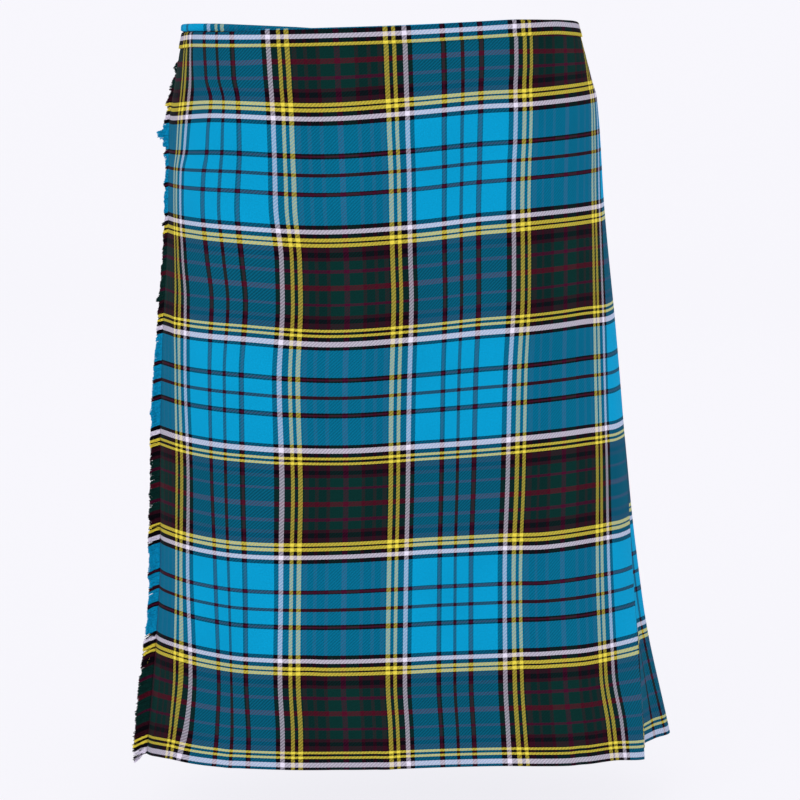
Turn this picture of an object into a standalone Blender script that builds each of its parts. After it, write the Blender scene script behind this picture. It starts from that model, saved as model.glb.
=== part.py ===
"""A wrap kilt, hollow as it is worn: over apron with its frayed edge, under apron,
deep pleat, knife-pleated back in two lengths, waistband, leather straps and buckles.

Metres, +Z up, +X towards the wearer's left, -Y towards the front. The origin is on the
wearer's waist. Lengths that end in _MM are millimetres.

Every piece is placed in the kilt's own coordinates, by three numbers:
  around  how far round the body, from the front centre towards the wearer's left, in mm
  drop    how far down from the top edge, as a share of the kilt's length
  out     how far outwards from the kilt's outer surface, in mm
"""

import math
from bisect import bisect_right

import bmesh
import bpy
from mathutils import Vector

MM = 0.001

# Driving sizes
LENGTH_MM = 610.0
RISE_MM = 40.0  # the top edge stands this far above the waist line
CLOTH_MM = 1.2
PLEAT_CLOTH_MM = 1.0
SEAM_GAP_MM = 0.3

# The form that the cloth takes, as level sections from the top edge down.
# half_width, front and depth are in mm: front is how far the section reaches before
# the body's axis, depth how far it reaches before its own widest line, and back how far
# it reaches behind that line. shift is the section's offset to the wearer's left.
# slope is the rise to the wearer's left, and side_drop how far the two sides hang lower.
FORM_COLUMNS = (
    "drop", "half_width", "depth", "front", "back", "shift", "slope", "side_drop",
)
FORM_ROWS = (
    (0.00, 158.7, 87.4, 90.8, 92.0, -4.0, 0.0535, -4.9),
    (0.12, 177.1, 104.7, 89.8, 108.0, 3.0, 0.0434, -4.6),
    (0.30, 184.8, 116.5, 88.3, 120.0, 7.6, 0.0282, -4.2),
    (0.50, 198.4, 127.7, 84.5, 122.0, 12.6, 0.0113, -3.8),
    (0.75, 209.2, 130.0, 76.9, 124.0, 21.2, -0.0098, 1.2),
    (1.00, 237.3, 142.1, 69.3, 130.0, 29.7, -0.0309, 6.2),
)
FRONT_ROUNDNESS = 2.55  # the exponent of the front half's superellipse
BACK_ROUNDNESS = 2.15
RING_STEPS = 144
FORM_AXIS_MM = (12.0, 25.0)

# Waistband: a strip folded over the top edge
BAND_MM = 17.0
BAND_CLOTH_MM = 1.0
BAND_LIP_MM = 0.6  # between the cloth's edge and the strip's fold
BAND_OVER_PLEATS_MM = 0.65  # it bridges from fold to fold of the pleats

# Every panel has its points at these shares of the drop, and is straight between them.
ROWS = (0.0, BAND_MM / LENGTH_MM, 0.12, 0.27, 0.43, 0.60, 0.74, 0.87, 1.0)

# Soft folds that all the front's layers share: where, how wide, and how deep at the hem.
FOLD_COLUMNS = ("around", "width", "top", "depth")
FOLD_ROWS = (
    (-215.0, 46.0, 0.30, 2.6),
    (-150.0, 60.0, 0.45, -2.2),
    (-62.0, 58.0, 0.55, 1.8),
    (30.0, 66.0, 0.50, -1.6),
    (112.0, 52.0, 0.42, 2.2),
    (172.0, 40.0, 0.50, -2.0),
)

# The over apron, cut to a straight column of the cloth at each edge. Its columns lean
# to the wearer's right on their way down, as the rows below give them.
EDGE_COLUMNS = ("drop", "right_edge", "left_edge", "flank_width")
EDGE_ROWS = (
    (0.00, -240.0, 226.0, 44.0),
    (0.30, -248.0, 214.0, 58.0),
    (0.50, -253.0, 219.0, 68.0),
    (0.75, -263.0, 212.0, 78.0),
    (1.00, -266.0, 204.0, 92.0),
)
APRON_STEPS = 40
APRON_OUT_MM = -CLOTH_MM / 2

# Layers under the over apron
UNDER_OUT_COLUMNS = ("drop", "out")
UNDER_OUT_ROWS = ((0.0, -5.1), (0.13, -5.1), (0.30, -3.6), (1.0, -4.2))
UNDER_RISE_MM = 4.5  # the under apron's edge stands this much higher at the right
UNDER_RISE_SPAN_MM = (-262.0, -130.0)
UNDER_LAST_COLUMN = 33  # it ends at this column of the over apron
RETURN_OUT_MM = -2.9
INNER_OUT_MM = -4.9
RETURN_MM = 7.0  # the hem of cloth that the over apron's fold turns under
DEEP_PLEAT_STEPS = 4  # its depth, in steps of the over apron's columns
DEEP_PLEAT_SEAM_MM = 13.0

# Knife pleats
PLEATS = 24
PLEATS_LEFT = 12
LAST_FOLD_MM = 27.0  # from the over apron's right edge to the last pleat's fold
PLEAT_COLUMNS = ("drop", "underlap", "spread")
PLEAT_ROWS = (
    (0.00, 4.0, 1.45),
    (0.12, 5.0, 1.65),
    (0.30, 8.0, 1.7),
    (0.55, 11.5, 1.9),
    (1.00, 14.5, 2.5),
)
PLEAT_FACE_MM = -PLEAT_CLOTH_MM / 2
FLANK_COLUMNS = ("drop", "first", "second", "third")  # out, a quarter of its width apart
FLANK_ROWS = (
    (0.00, -3.1, -1.5, -0.6),
    (0.30, -3.0, -1.3, -0.4),
    (0.50, -3.4, -1.6, 0.8),
    (0.67, -4.6, -3.6, 4.4),
    (0.87, -9.2, -10.5, -0.6),
    (1.00, -14.0, -11.0, 0.4),
)

# Frayed edge
FRINGE_BACKING_MM = 3.0
FRINGE_GAP_MM = 0.4
FRINGE_LOCKS = 76
FRINGE_FROM_DROP = 0.035
FRINGE_TO_DROP = 0.994
LOCK_BEND_MM = (7.0, 4.0, 3.2)  # back round the body, down, outwards
LOCK_TIP_MM = (13.0, 10.0, 8.0)
LOCK_TIP_SCALE = 0.45
OVER_STRAP_MM = 2.3  # the locks that lie on the strap stand out by this much more

# Leather straps and steel buckles
LEATHER_MM = 1.6
TAB_LEATHER_MM = 1.2
STRAP_WIDTH_MM = 25.0
STRAP_DROP = 0.075
TAB_WIDTH_MM = 23.0
BUCKLE_WIRE_MM = 1.2  # radius
PRONG_WIRE_MM = 0.8
BUCKLE_LENGTH_MM = 22.0
BUCKLE_HALF_HEIGHT_MM = 15.5
BUCKLE_CORNER_MM = 2.6
SLOT_FROM_EDGE_MM = 17.0
SLOT_MM = 25.0
SLOT_HEIGHT_MM = 31.0
HEEL_OUT_MM = 3.6
FRONT_OUT_MM = 3.8


def table(columns, rows):
    """Rows of named columns, as a dictionary for each row."""
    return [dict(zip(columns, row)) for row in rows]


FORM = table(FORM_COLUMNS, FORM_ROWS)
FOLDS = table(FOLD_COLUMNS, FOLD_ROWS)
EDGES = table(EDGE_COLUMNS, EDGE_ROWS)
UNDER_OUT = table(UNDER_OUT_COLUMNS, UNDER_OUT_ROWS)
PLEAT_SIZES = table(PLEAT_COLUMNS, PLEAT_ROWS)
FLANK = table(FLANK_COLUMNS, FLANK_ROWS)


def slopes(rows, name):
    """Slopes for a smooth curve through a column that never overshoots its values."""
    steps = [
        (b[name] - a[name]) / (b["drop"] - a["drop"]) for a, b in zip(rows, rows[1:])
    ]
    inner = [
        0.0 if before * after <= 0 else 2 * before * after / (before + after)
        for before, after in zip(steps, steps[1:])
    ]
    return [steps[0]] + inner + [steps[-1]]


def on_curve(rows, name, drop):
    """The value of a column at this drop, on a smooth curve through the rows."""
    k = min(bisect_right([row["drop"] for row in rows], drop), len(rows) - 1) - 1
    a, b = rows[k], rows[k + 1]
    width = b["drop"] - a["drop"]
    t = (drop - a["drop"]) / width
    tangents = slopes(rows, name)
    return (
        (2 * t**3 - 3 * t**2 + 1) * a[name]
        + (t**3 - 2 * t**2 + t) * width * tangents[k]
        + (3 * t**2 - 2 * t**3) * b[name]
        + (t**3 - t**2) * width * tangents[k + 1]
    )


def at(rows, name, drop):
    """The value of a column at this drop: on the curve at ROWS, straight between them."""
    k = min(max(bisect_right(ROWS, drop), 1), len(ROWS) - 1)
    above, below = ROWS[k - 1], ROWS[k]
    part = (drop - above) / (below - above)
    a, b = on_curve(rows, name, above), on_curve(rows, name, below)
    return a + (b - a) * part


def smooth(t):
    """0 to 1, with a soft start and end."""
    t = min(max(t, 0.0), 1.0)
    return t * t * (3 - 2 * t)


class Section:
    """One level section of the form: a closed curve, measured along its length."""

    def __init__(self, drop):
        self.drop = drop
        self.size = {name: at(FORM, name, drop) for name in FORM_COLUMNS[1:]}
        self.angles = [2 * math.pi * k / RING_STEPS for k in range(RING_STEPS + 1)]
        points = [self.point(angle) for angle in self.angles]
        self.lengths = [0.0]
        for a, b in zip(points, points[1:]):
            self.lengths.append(self.lengths[-1] + (b - a).length)
        self.girth = self.lengths[-1]

    def halves(self, angle):
        """(depth, roundness) of the half of the section that this angle is in."""
        if math.cos(angle) >= 0:
            return self.size["depth"], FRONT_ROUNDNESS
        return self.size["back"], BACK_ROUNDNESS

    def point(self, angle):
        depth, power = self.halves(angle)
        s, c = math.sin(angle), math.cos(angle)
        reach = (abs(s) ** power + abs(c) ** power) ** (-1 / power)
        widest = self.size["depth"] - self.size["front"]
        x = self.size["half_width"] * s * reach
        level = RISE_MM - LENGTH_MM * self.drop + self.size["slope"] * x
        side = self.size["side_drop"] * (x / self.size["half_width"]) ** 2
        return Vector((x + self.size["shift"], widest - depth * c * reach, level - side))

    def normal(self, angle):
        depth, power = self.halves(angle)
        s, c = math.sin(angle), math.cos(angle)
        reach = (abs(s) ** power + abs(c) ** power) ** (-1 / power)
        x = math.copysign(abs(s * reach) ** (power - 1), s) / self.size["half_width"]
        y = -math.copysign(abs(c * reach) ** (power - 1), c) / depth
        return Vector((x, y, 0.0)).normalized()

    def angle(self, around):
        """The angle at this length from the front centre, which may be negative."""
        turns, rest = divmod(around, self.girth)
        k = min(bisect_right(self.lengths, rest), RING_STEPS) - 1
        part = (rest - self.lengths[k]) / (self.lengths[k + 1] - self.lengths[k])
        return self.angles[k] + part * (self.angles[k + 1] - self.angles[k])


SECTIONS = {}


def section(drop):
    if drop not in SECTIONS:
        SECTIONS[drop] = Section(drop)
    return SECTIONS[drop]


def fold_depth(around, drop, girth):
    """How far the soft folds move the cloth out, in mm."""
    around = (around + girth / 2) % girth - girth / 2
    depth = 0.0
    for fold in FOLDS:
        across = (around - fold["around"]) / fold["width"]
        if abs(across) < 1 and drop > fold["top"]:
            down = smooth((drop - fold["top"]) / (1 - fold["top"]))
            depth += fold["depth"] * down * math.cos(across * math.pi / 2) ** 2
    return depth


def on_form(angle, drop, out):
    """The point at this angle round the form, in metres."""
    level = section(min(drop, 1.0))
    point = level.point(angle) + level.normal(angle) * out
    point.z -= LENGTH_MM * (drop - level.drop)
    return point * MM


def place(around, drop, out):
    """The point at these three coordinates of the kilt, in metres."""
    level = section(min(drop, 1.0))
    out += fold_depth(around, drop, level.girth)
    return on_form(level.angle(around), drop, out)


def lifted(around, drop, out, rise):
    """The same, slid straight up along the form by rise, in mm."""
    if rise == 0:
        return place(around, drop, out)
    return on_form(section(drop).angle(around), drop - rise / LENGTH_MM, out)


def collection(name):
    found = bpy.data.collections.new(name)
    bpy.context.scene.collection.children.link(found)
    return found


def clear_scene():
    for obj in list(bpy.data.objects):
        bpy.data.objects.remove(obj, do_unlink=True)


def material(name, colour, roughness, metallic=0.0):
    made = bpy.data.materials.new(name)
    made.use_nodes = True
    shader = made.node_tree.nodes["Principled BSDF"]
    shader.inputs["Base Color"].default_value = (*colour, 1.0)
    shader.inputs["Roughness"].default_value = roughness
    shader.inputs["Metallic"].default_value = metallic
    made.diffuse_color = (*colour, 1.0)
    return made


def add_object(name, data, finish, group):
    obj = bpy.data.objects.new(name, data)
    obj.data.materials.append(finish)
    group.objects.link(obj)
    return obj


def grid_mesh(columns):
    """A grid of quads through columns of points, and its faces by column and row."""
    across, down = len(columns) - 1, len(columns[0]) - 1
    bm = bmesh.new()
    bmesh.ops.create_grid(bm, x_segments=across, y_segments=down, size=1.0)
    cells = {}
    for face in bm.faces:
        middle = face.calc_center_median()
        i = math.floor((middle.x + 1) / 2 * across)
        cells[i, math.floor((1 - middle.y) / 2 * down)] = face
    for vert in bm.verts:
        i = round((vert.co.x + 1) / 2 * across)
        j = round((1 - vert.co.y) / 2 * down)
        vert.co = columns[i][j]
    return bm, cells


def split_quads(bm):
    """Splits each twisted quad along the diagonal that lies further out, so that
    layers over one another take the same shape."""
    axis = Vector((FORM_AXIS_MM[0], FORM_AXIS_MM[1], 0.0)) * MM
    for face in list(bm.faces):
        if len(face.verts) != 4:
            continue
        a, b, c, d = face.verts
        one = (a.co + c.co) / 2 - axis
        other = (b.co + d.co) / 2 - axis
        pair = (a, c) if one.xy.length > other.xy.length else (b, d)
        bmesh.utils.face_split(face, *pair)


def close_round(bm):
    """Joins a grid's first row to its last, which lie together, and fills both ends."""
    bmesh.ops.remove_doubles(bm, verts=bm.verts, dist=1e-6)
    ends = [edge for edge in bm.edges if edge.is_boundary]
    bmesh.ops.holes_fill(bm, edges=ends, sides=0)
    bmesh.ops.recalc_face_normals(bm, faces=bm.faces)


def finished(name, bm, finish, group):
    mesh = bpy.data.meshes.new(name)
    bm.to_mesh(mesh)
    bm.free()
    return add_object(name, mesh, finish, group)


def sheet(name, columns, finish, group, thickness_mm):
    """Cloth or leather through columns of points, as an open surface with Solidify."""
    bm, _ = grid_mesh(columns)
    split_quads(bm)
    obj = finished(name, bm, finish, group)
    wall = obj.modifiers.new("Wall", "SOLIDIFY")
    wall.thickness = thickness_mm * MM
    wall.offset = 0.0
    wall.use_even_offset = True
    wall.use_quality_normals = True
    return obj


def ribbon(name, path_at, finish, group, thickness_mm, rise_at=None):
    """A wall whose plan at each drop is path_at(drop), a list of (around, out).

    rise_at(around), in mm, lifts the two top rows."""
    columns = []
    for steps in zip(*(path_at(drop) for drop in ROWS)):
        rise = rise_at(steps[0][0]) if rise_at else 0.0
        columns.append([
            lifted(around, drop, out, rise if drop <= ROWS[1] else 0.0)
            for drop, (around, out) in zip(ROWS, steps)
        ])
    return sheet(name, columns, finish, group, thickness_mm)


def cut(obj, centre, along, up, size_mm, cutters):
    """Cuts a box-shaped slot from the object. size_mm is along, up and through."""
    mesh = bpy.data.meshes.new("slot")
    bm = bmesh.new()
    bmesh.ops.create_cube(bm, size=1.0)
    bm.to_mesh(mesh)
    bm.free()
    through = along.cross(up).normalized()
    for vert in mesh.vertices:
        x, y, z = (v * size * MM for v, size in zip(vert.co, size_mm))
        vert.co = centre + along * x + up * y + through * z
    cutter = bpy.data.objects.new("cutter_" + obj.name, mesh)
    cutter.hide_render = True
    cutter.display_type = "WIRE"
    cutters.objects.link(cutter)
    if sum((f.center - centre).dot(f.normal) for f in mesh.polygons) < 0:
        mesh.flip_normals()
    slot = obj.modifiers.new("Slot", "BOOLEAN")
    slot.operation = "DIFFERENCE"
    slot.solver = "EXACT"
    slot.object = cutter


# ---------------------------------------------------------------- cloth panels


def apron_column(drop, k):
    """Where the over apron's column k lies, from 0 at its right edge."""
    right, left = at(EDGES, "right_edge", drop), at(EDGES, "left_edge", drop)
    return right + (left - right) * k / APRON_STEPS


def over_apron_path(drop):
    """Across the front and round the fold edge, with the hem of cloth turned under."""
    path = [(apron_column(drop, k), APRON_OUT_MM) for k in range(APRON_STEPS + 1)]
    left = at(EDGES, "left_edge", drop)
    return path + [(left, RETURN_OUT_MM), (left - RETURN_MM, RETURN_OUT_MM)]


def deep_pleat_path(drop):
    """A fold behind the over apron's edge: in along one layer, and out along another."""
    left = at(EDGES, "left_edge", drop)
    inwards = [
        apron_column(drop, APRON_STEPS - k) for k in range(1, DEEP_PLEAT_STEPS + 1)
    ]
    path = [(left - RETURN_MM - SEAM_GAP_MM, RETURN_OUT_MM)]
    path += [(around, RETURN_OUT_MM) for around in inwards]
    path += [(around, INNER_OUT_MM) for around in inwards[:0:-1]]
    return path + [(left - DEEP_PLEAT_SEAM_MM, INNER_OUT_MM)]


def fold_positions(drop):
    """Where the folds of all the knife pleats lie: the flank's fold, then each pleat's."""
    girth = section(drop).girth
    first = at(EDGES, "left_edge", drop) + at(EDGES, "flank_width", drop)
    last = girth + at(EDGES, "right_edge", drop) - LAST_FOLD_MM
    return [first + (last - first) * k / PLEATS for k in range(PLEATS + 1)]


def pleat_layers(drop):
    spread = at(PLEAT_SIZES, "spread", drop)
    return PLEAT_FACE_MM, PLEAT_FACE_MM - spread, PLEAT_FACE_MM - 2 * spread


def pleat_path(folds, k, drop):
    """One knife pleat: out from under the fold before it, to its own fold, and back."""
    face, middle, inner = pleat_layers(drop)
    underlap = at(PLEAT_SIZES, "underlap", drop)
    pitch = folds[k] - folds[k - 1]
    sag = face - middle - PLEAT_CLOTH_MM - 0.35
    return [
        (folds[k - 1] - underlap, inner),
        (folds[k - 1] + 0.07 * pitch, inner + 0.1),
        (folds[k] - underlap - 1.5, face - sag),
        (folds[k], face),
        (folds[k], middle),
        (folds[k] - underlap, middle),
    ]


def flank_path(folds, drop):
    """The plain side between the over apron's edge and the first knife pleat."""
    face, middle, _ = pleat_layers(drop)
    left = at(EDGES, "left_edge", drop)
    underlap = at(PLEAT_SIZES, "underlap", drop)
    clear = left + 2.0
    rise = (folds[0] - clear) / 4
    outs = [at(FLANK, name, drop) for name in ("first", "second", "third")]
    return (
        [(left - DEEP_PLEAT_SEAM_MM + SEAM_GAP_MM, INNER_OUT_MM)]
        + [(left - 5.0, INNER_OUT_MM), (clear, INNER_OUT_MM)]
        + [(clear + rise * (k + 1), out) for k, out in enumerate(outs)]
        + [
            (folds[0] - underlap - 1.5, (outs[2] + face) / 2),
            (folds[0], face),
            (folds[0], middle),
            (folds[0] - underlap, middle),
        ]
    )


def pleats_left_path(drop):
    folds = fold_positions(drop)
    path = flank_path(folds, drop)
    for k in range(1, PLEATS_LEFT + 1):
        path += pleat_path(folds, k, drop)
    return path


def pleats_right_path(drop):
    """The second length starts at a seam hidden under the first length's last fold."""
    folds = fold_positions(drop)
    path = []
    for k in range(PLEATS_LEFT + 1, PLEATS + 1):
        path += pleat_path(folds, k, drop)
    return path


def under_path(drop):
    """From beneath the last pleat, where it is that pleat's own next layer."""
    right = at(EDGES, "right_edge", drop)
    last_fold = right - LAST_FOLD_MM
    places = [last_fold - at(PLEAT_SIZES, "underlap", drop)]
    places += [last_fold, last_fold + 14.0]
    places += [apron_column(drop, k) for k in range(UNDER_LAST_COLUMN + 1)]
    inner = pleat_layers(drop)[2] - 0.4
    out = at(UNDER_OUT, "out", drop)
    return [
        (around, inner + (out - inner) * smooth((around - last_fold) / 24))
        for around in places
    ]


def under_rise(around):
    """The under apron's top edge stands proud of the over apron's at the right."""
    low, high = UNDER_RISE_SPAN_MM
    return UNDER_RISE_MM * smooth((high - around) / 26) * smooth((around - low) / 14)


# ------------------------------------------------------------------- waistband


def over_apron_at(k):
    return lambda drop: over_apron_path(drop)[k][0]


def beyond_left_edge_at(step):
    return lambda drop: at(EDGES, "left_edge", drop) + step


def fold_at(k):
    return lambda drop: fold_positions(drop)[k]


def under_apron_at(k):
    return lambda drop: under_path(drop)[k][0] + section(drop).girth


def band_stations():
    """(around at a drop, inner leg's outer face, outer leg's inner face, rise) along
    the strip, which goes once round and then on over the under apron's edge."""
    gap = SEAM_GAP_MM
    wall = CLOTH_MM / 2 + gap
    deep = INNER_OUT_MM - wall - 0.3
    last_fold = at(EDGES, "right_edge", 0.0) - LAST_FOLD_MM
    stations = []
    for k in range(APRON_STEPS + 1):
        behind = k >= APRON_STEPS - DEEP_PLEAT_STEPS - 1
        inner = deep if behind else APRON_OUT_MM - wall
        stations.append((over_apron_at(k), inner, gap, 0.0))
    for step in (4.0, 12.0, 22.5, 33.0):
        stations.append((beyond_left_edge_at(step), deep, gap, 0.0))
    inner = pleat_layers(0.0)[2] - 0.4 - wall
    for k in range(PLEATS + 1):
        easing = 0.4 if k >= PLEATS - 1 else 0.0
        stations.append((fold_at(k), inner - easing, BAND_OVER_PLEATS_MM, 0.0))
    wall += 0.2
    for k, (around, out) in enumerate(under_path(0.0)):
        if around > last_fold + 4:
            rise = under_rise(around)
            stations.append((under_apron_at(k), out - wall, out + wall, rise))
    return stations


def band_profile(station):
    """The strip's cross-section, an upside-down U over the edge of the cloth."""
    around_at, inner, outer, rise = station
    low = ROWS[1]
    under = -BAND_LIP_MM / LENGTH_MM
    top = under - BAND_CLOTH_MM / LENGTH_MM
    corners = (
        (outer + BAND_CLOTH_MM, low),
        (outer + BAND_CLOTH_MM, top),
        (inner - BAND_CLOTH_MM, top),
        (inner - BAND_CLOTH_MM, low),
        (inner, low),
        (inner, under),
        (outer, under),
        (outer, low),
        (outer + BAND_CLOTH_MM, low),
    )
    points = []
    for out, drop in corners:
        start = max(drop, 0.0)
        lift = rise + (start - drop) * LENGTH_MM
        points.append(lifted(around_at(start), start, out, lift))
    return points


def loft(name, profiles, finish, group):
    """A closed solid along cross-sections of like corners."""
    bm, _ = grid_mesh(profiles)
    split_quads(bm)
    close_round(bm)
    return finished(name, bm, finish, group)


# ---------------------------------------------------------------------- fringe


def fringe_profile(drop):
    near = at(EDGES, "right_edge", drop) - FRINGE_GAP_MM
    far = near - FRINGE_BACKING_MM
    face, back = APRON_OUT_MM + CLOTH_MM / 2, APRON_OUT_MM - CLOTH_MM / 2
    corners = ((near, face), (far, face), (far, back), (near, back), (near, face))
    return [place(around, drop, out) for around, out in corners]


def lock_point(drop, back, down, out):
    """A point of a lock, from the middle of the backing's outer side."""
    edge = at(EDGES, "right_edge", drop) - FRINGE_GAP_MM - FRINGE_BACKING_MM
    drop += down / LENGTH_MM
    from_strap = abs(drop - STRAP_DROP) * LENGTH_MM - STRAP_WIDTH_MM / 2
    if back > 0:
        out += OVER_STRAP_MM * smooth(1.3 - from_strap / 12)
    return place(edge - back, drop, APRON_OUT_MM + out)


def add_fringe(finish, group):
    """A narrow strip along the frayed edge, with each lock drawn out of its side."""
    span = FRINGE_TO_DROP - FRINGE_FROM_DROP
    drops = [
        FRINGE_FROM_DROP + span * k / FRINGE_LOCKS for k in range(FRINGE_LOCKS + 1)
    ]
    bm, cells = grid_mesh([fringe_profile(drop) for drop in drops])
    for k in range(FRINGE_LOCKS):
        face = cells[k, 1]
        lowest = (FRINGE_TO_DROP + 0.004 - drops[k]) * LENGTH_MM
        root = lock_point(drops[k], 0.0, 0.0, 0.0)
        for (back, down, out), size in ((LOCK_BEND_MM, 0.7), (LOCK_TIP_MM, LOCK_TIP_SCALE)):
            target = lock_point(drops[k], back, min(down, lowest), out)
            face = bmesh.ops.extrude_discrete_faces(bm, faces=[face])["faces"][0]
            bmesh.ops.translate(bm, verts=face.verts, vec=target - root)
            middle = face.calc_center_median()
            for vert in face.verts:
                vert.co = middle + (vert.co - middle) * size
            root = target
    close_round(bm)
    return finished("fringe", bm, finish, group)


# -------------------------------------------------------- straps and buckles


def at_strap(around, high, out):
    """The point at this height above the straps' middle, straight up from it."""
    angle = section(STRAP_DROP).angle(around)
    return on_form(angle, STRAP_DROP - high / LENGTH_MM, out)


def directions(around):
    """Round the body, and up, at the straps' middle, as unit vectors."""
    along = (at_strap(around + 1, 0, 0) - at_strap(around - 1, 0, 0)).normalized()
    up = (at_strap(around, 1, 0) - at_strap(around, -1, 0)).normalized()
    return along, up


def leather(name, path, width_mm, finish, group, thickness_mm, tapered=False):
    """A strip of leather that follows a list of (around, out) at the strap's height."""
    columns = []
    for k, (around, out) in enumerate(path):
        reach = width_mm / 2
        if tapered and k >= len(path) - 2:
            reach *= 0.82 if k == len(path) - 2 else 0.3
        columns.append([at_strap(around, side * reach, out) for side in (1, 0, -1)])
    return sheet(name, columns, finish, group, thickness_mm)


def strap_end_path(front, way):
    """The strap from the buckle's front bar to its tip, over the heel bar and tab."""
    rows = (
        (-5.0, 1.4), (0.0, 1.4), (4.0, 2.0), (9.0, 4.0), (14.0, 6.3), (19.0, 8.0),
        (24.0, 8.2), (29.0, 7.1), (35.0, 5.4), (41.0, 4.9), (48.0, 4.8), (56.0, 4.7),
        (64.0, 4.6), (70.0, 4.5),
    )
    return [(front + way * step, out) for step, out in rows]


def tube(name, points, radius_mm, finish, group, closed):
    """A round wire along points, as a poly curve with a bevel."""
    curve = bpy.data.curves.new(name, "CURVE")
    curve.dimensions = "3D"
    curve.bevel_depth = radius_mm * MM
    curve.bevel_resolution = 2
    curve.use_fill_caps = not closed
    spline = curve.splines.new("POLY")
    spline.points.add(len(points) - 1)
    for target, point in zip(spline.points, points):
        target.co = (*point, 1.0)
    spline.use_cyclic_u = closed
    return add_object(name, curve, finish, group)


def rounded_loop(corners, radius_mm, steps=3):
    """A closed polygon whose corners are rounded, as a list of points."""
    points = []
    for k, corner in enumerate(corners):
        before = corners[k - 1] - corner
        after = corners[(k + 1) % len(corners)] - corner
        start = corner + before.normalized() * radius_mm * MM
        end = corner + after.normalized() * radius_mm * MM
        for n in range(steps + 1):
            t = n / steps
            points.append(
                start * (1 - t) ** 2 + corner * 2 * t * (1 - t) + end * t**2
            )
    return points


def add_prong(side, front_bar, heel_bar, up, steel, group):
    """A prong that hooks round the heel bar and rests on the front bar."""
    forward = (front_bar - heel_bar).normalized()
    outward = up.cross(forward).normalized()
    if outward.dot(Vector((heel_bar.x, heel_bar.y, 0.0))) < 0:
        outward = -outward
    wrap = (BUCKLE_WIRE_MM + PRONG_WIRE_MM + 0.25) * MM
    points = [
        heel_bar + (forward * math.cos(turn) + outward * math.sin(turn)) * wrap
        for turn in (math.radians(290 - 40 * k) for k in range(6))
    ]
    tip = front_bar + outward * (wrap + 0.05 * MM)
    points += [tip - forward * 4 * MM, tip, tip + forward * 3.2 * MM]
    return tube(f"prong_{side}", points, PRONG_WIRE_MM, steel, group, False)


def add_tab(side, heel, way, finishes, group, cutters):
    """A strip folded round the buckle's heel bar, with a slot for the prong."""
    clear = BUCKLE_WIRE_MM + SEAM_GAP_MM + TAB_LEATHER_MM / 2
    under = ((34, 1.0), (25, 1.0), (16, 1.0), (7, 1.35))
    over = ((7, 4.4), (16, 2.7), (25, 2.6), (34, 2.6))
    path = [(heel + way * step, out) for step, out in under]
    for k in range(6):
        turn = math.pi * k / 5
        step = heel - way * clear * math.sin(turn)
        path.append((step, HEEL_OUT_MM - clear * math.cos(turn)))
    path += [(heel + way * step, out) for step, out in over]
    leather_finish = finishes["leather"]
    name = f"tab_{side}"
    tab = leather(name, path, TAB_WIDTH_MM, leather_finish, group, TAB_LEATHER_MM)
    along, up = directions(heel)
    heel_bar = at_strap(heel, 0, HEEL_OUT_MM)
    cut(tab, heel_bar, along, up, (9.0, 4.6, 12.0), cutters)


def add_keeper(side, middle, finish, group):
    """A loop of leather over the tab and the strap's end."""
    high, top = STRAP_WIDTH_MM / 2 + 1.6, 7.2
    across = ((high, 0.35), (high, top - 1.2), (high - 1.2, top))
    rows = across + tuple((-reach, out) for reach, out in across[::-1])
    columns = [
        [at_strap(middle + step, reach, out) for step in (-3.5, 0, 3.5)]
        for reach, out in rows
    ]
    return sheet(f"keeper_{side}", columns, finish, group, 1.0)


def add_buckle(side, front, way, finishes, group, cutters, strap):
    """A buckle with its prong, tab and keeper. way is +1 or -1, the strap's direction."""
    heel = front + way * BUCKLE_LENGTH_MM
    high = BUCKLE_HALF_HEIGHT_MM
    corners = [
        at_strap(front, high, FRONT_OUT_MM), at_strap(front, -high, FRONT_OUT_MM),
        at_strap(heel, -high, HEEL_OUT_MM), at_strap(heel, high, HEEL_OUT_MM),
    ]
    steel = finishes["steel"]
    loop = rounded_loop(corners, BUCKLE_CORNER_MM)
    tube(f"buckle_{side}", loop, BUCKLE_WIRE_MM, steel, group, True)
    front_bar = (corners[0] + corners[1]) / 2
    heel_bar = (corners[2] + corners[3]) / 2
    _, up = directions((front + heel) / 2)
    add_prong(side, front_bar, heel_bar, up, steel, group)
    add_tab(side, heel, way, finishes, group, cutters)
    add_keeper(side, heel + way * 24, finishes["leather"], group)
    middle = front + way * 13.0
    along, up = directions(middle)
    cut(strap, at_strap(middle, 0, 5.5), along, up, (15.5, 4.0, 9.0), cutters)


def add_strap(side, hidden_part, front, way, finishes, group, cutters):
    path = hidden_part + strap_end_path(front, way)
    finish = finishes["leather"]
    name = f"strap_{side}"
    strap = leather(name, path, STRAP_WIDTH_MM, finish, group, LEATHER_MM, tapered=True)
    add_buckle(side, front, way, finishes, group, cutters, strap)


def add_straps(finishes, group, cutters):
    girth = section(STRAP_DROP).girth
    right = girth + at(EDGES, "right_edge", STRAP_DROP)
    left = at(EDGES, "left_edge", STRAP_DROP)
    # From under the over apron's frayed edge, back round the wearer's right hip.
    steps = (
        (18, -3.3), (10, -3.3), (2, -3.3), (-4, -3.2), (-9.5, -2.6), (-14.5, -0.9),
        (-19.5, 1.3), (-25, 1.9), (-31, 1.7), (-39, 1.4), (-48, 1.4),
    )
    hidden = [(right + step, out) for step, out in steps]
    add_strap("right", hidden, right - 62.0, -1, finishes, group, cutters)
    # From the under apron's edge, inside the deep pleat and out through the slot.
    steps = (
        (-104, -7.4), (-92, -7.4), (-80, -7.4), (-68, -7.4), (-56, -7.4), (-44, -7.4),
        (-32, -7.4), (-20, -7.4), (-8, -7.4), (2, -7.4), (7, -7.1), (12, -5.6),
        (17, -2.9), (22, 0.2), (27, 1.6), (33, 1.7), (41, 1.5), (50, 1.4),
    )
    hidden = [(left + step, out) for step, out in steps]
    add_strap("left", hidden, left + 66.0, 1, finishes, group, cutters)


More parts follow.
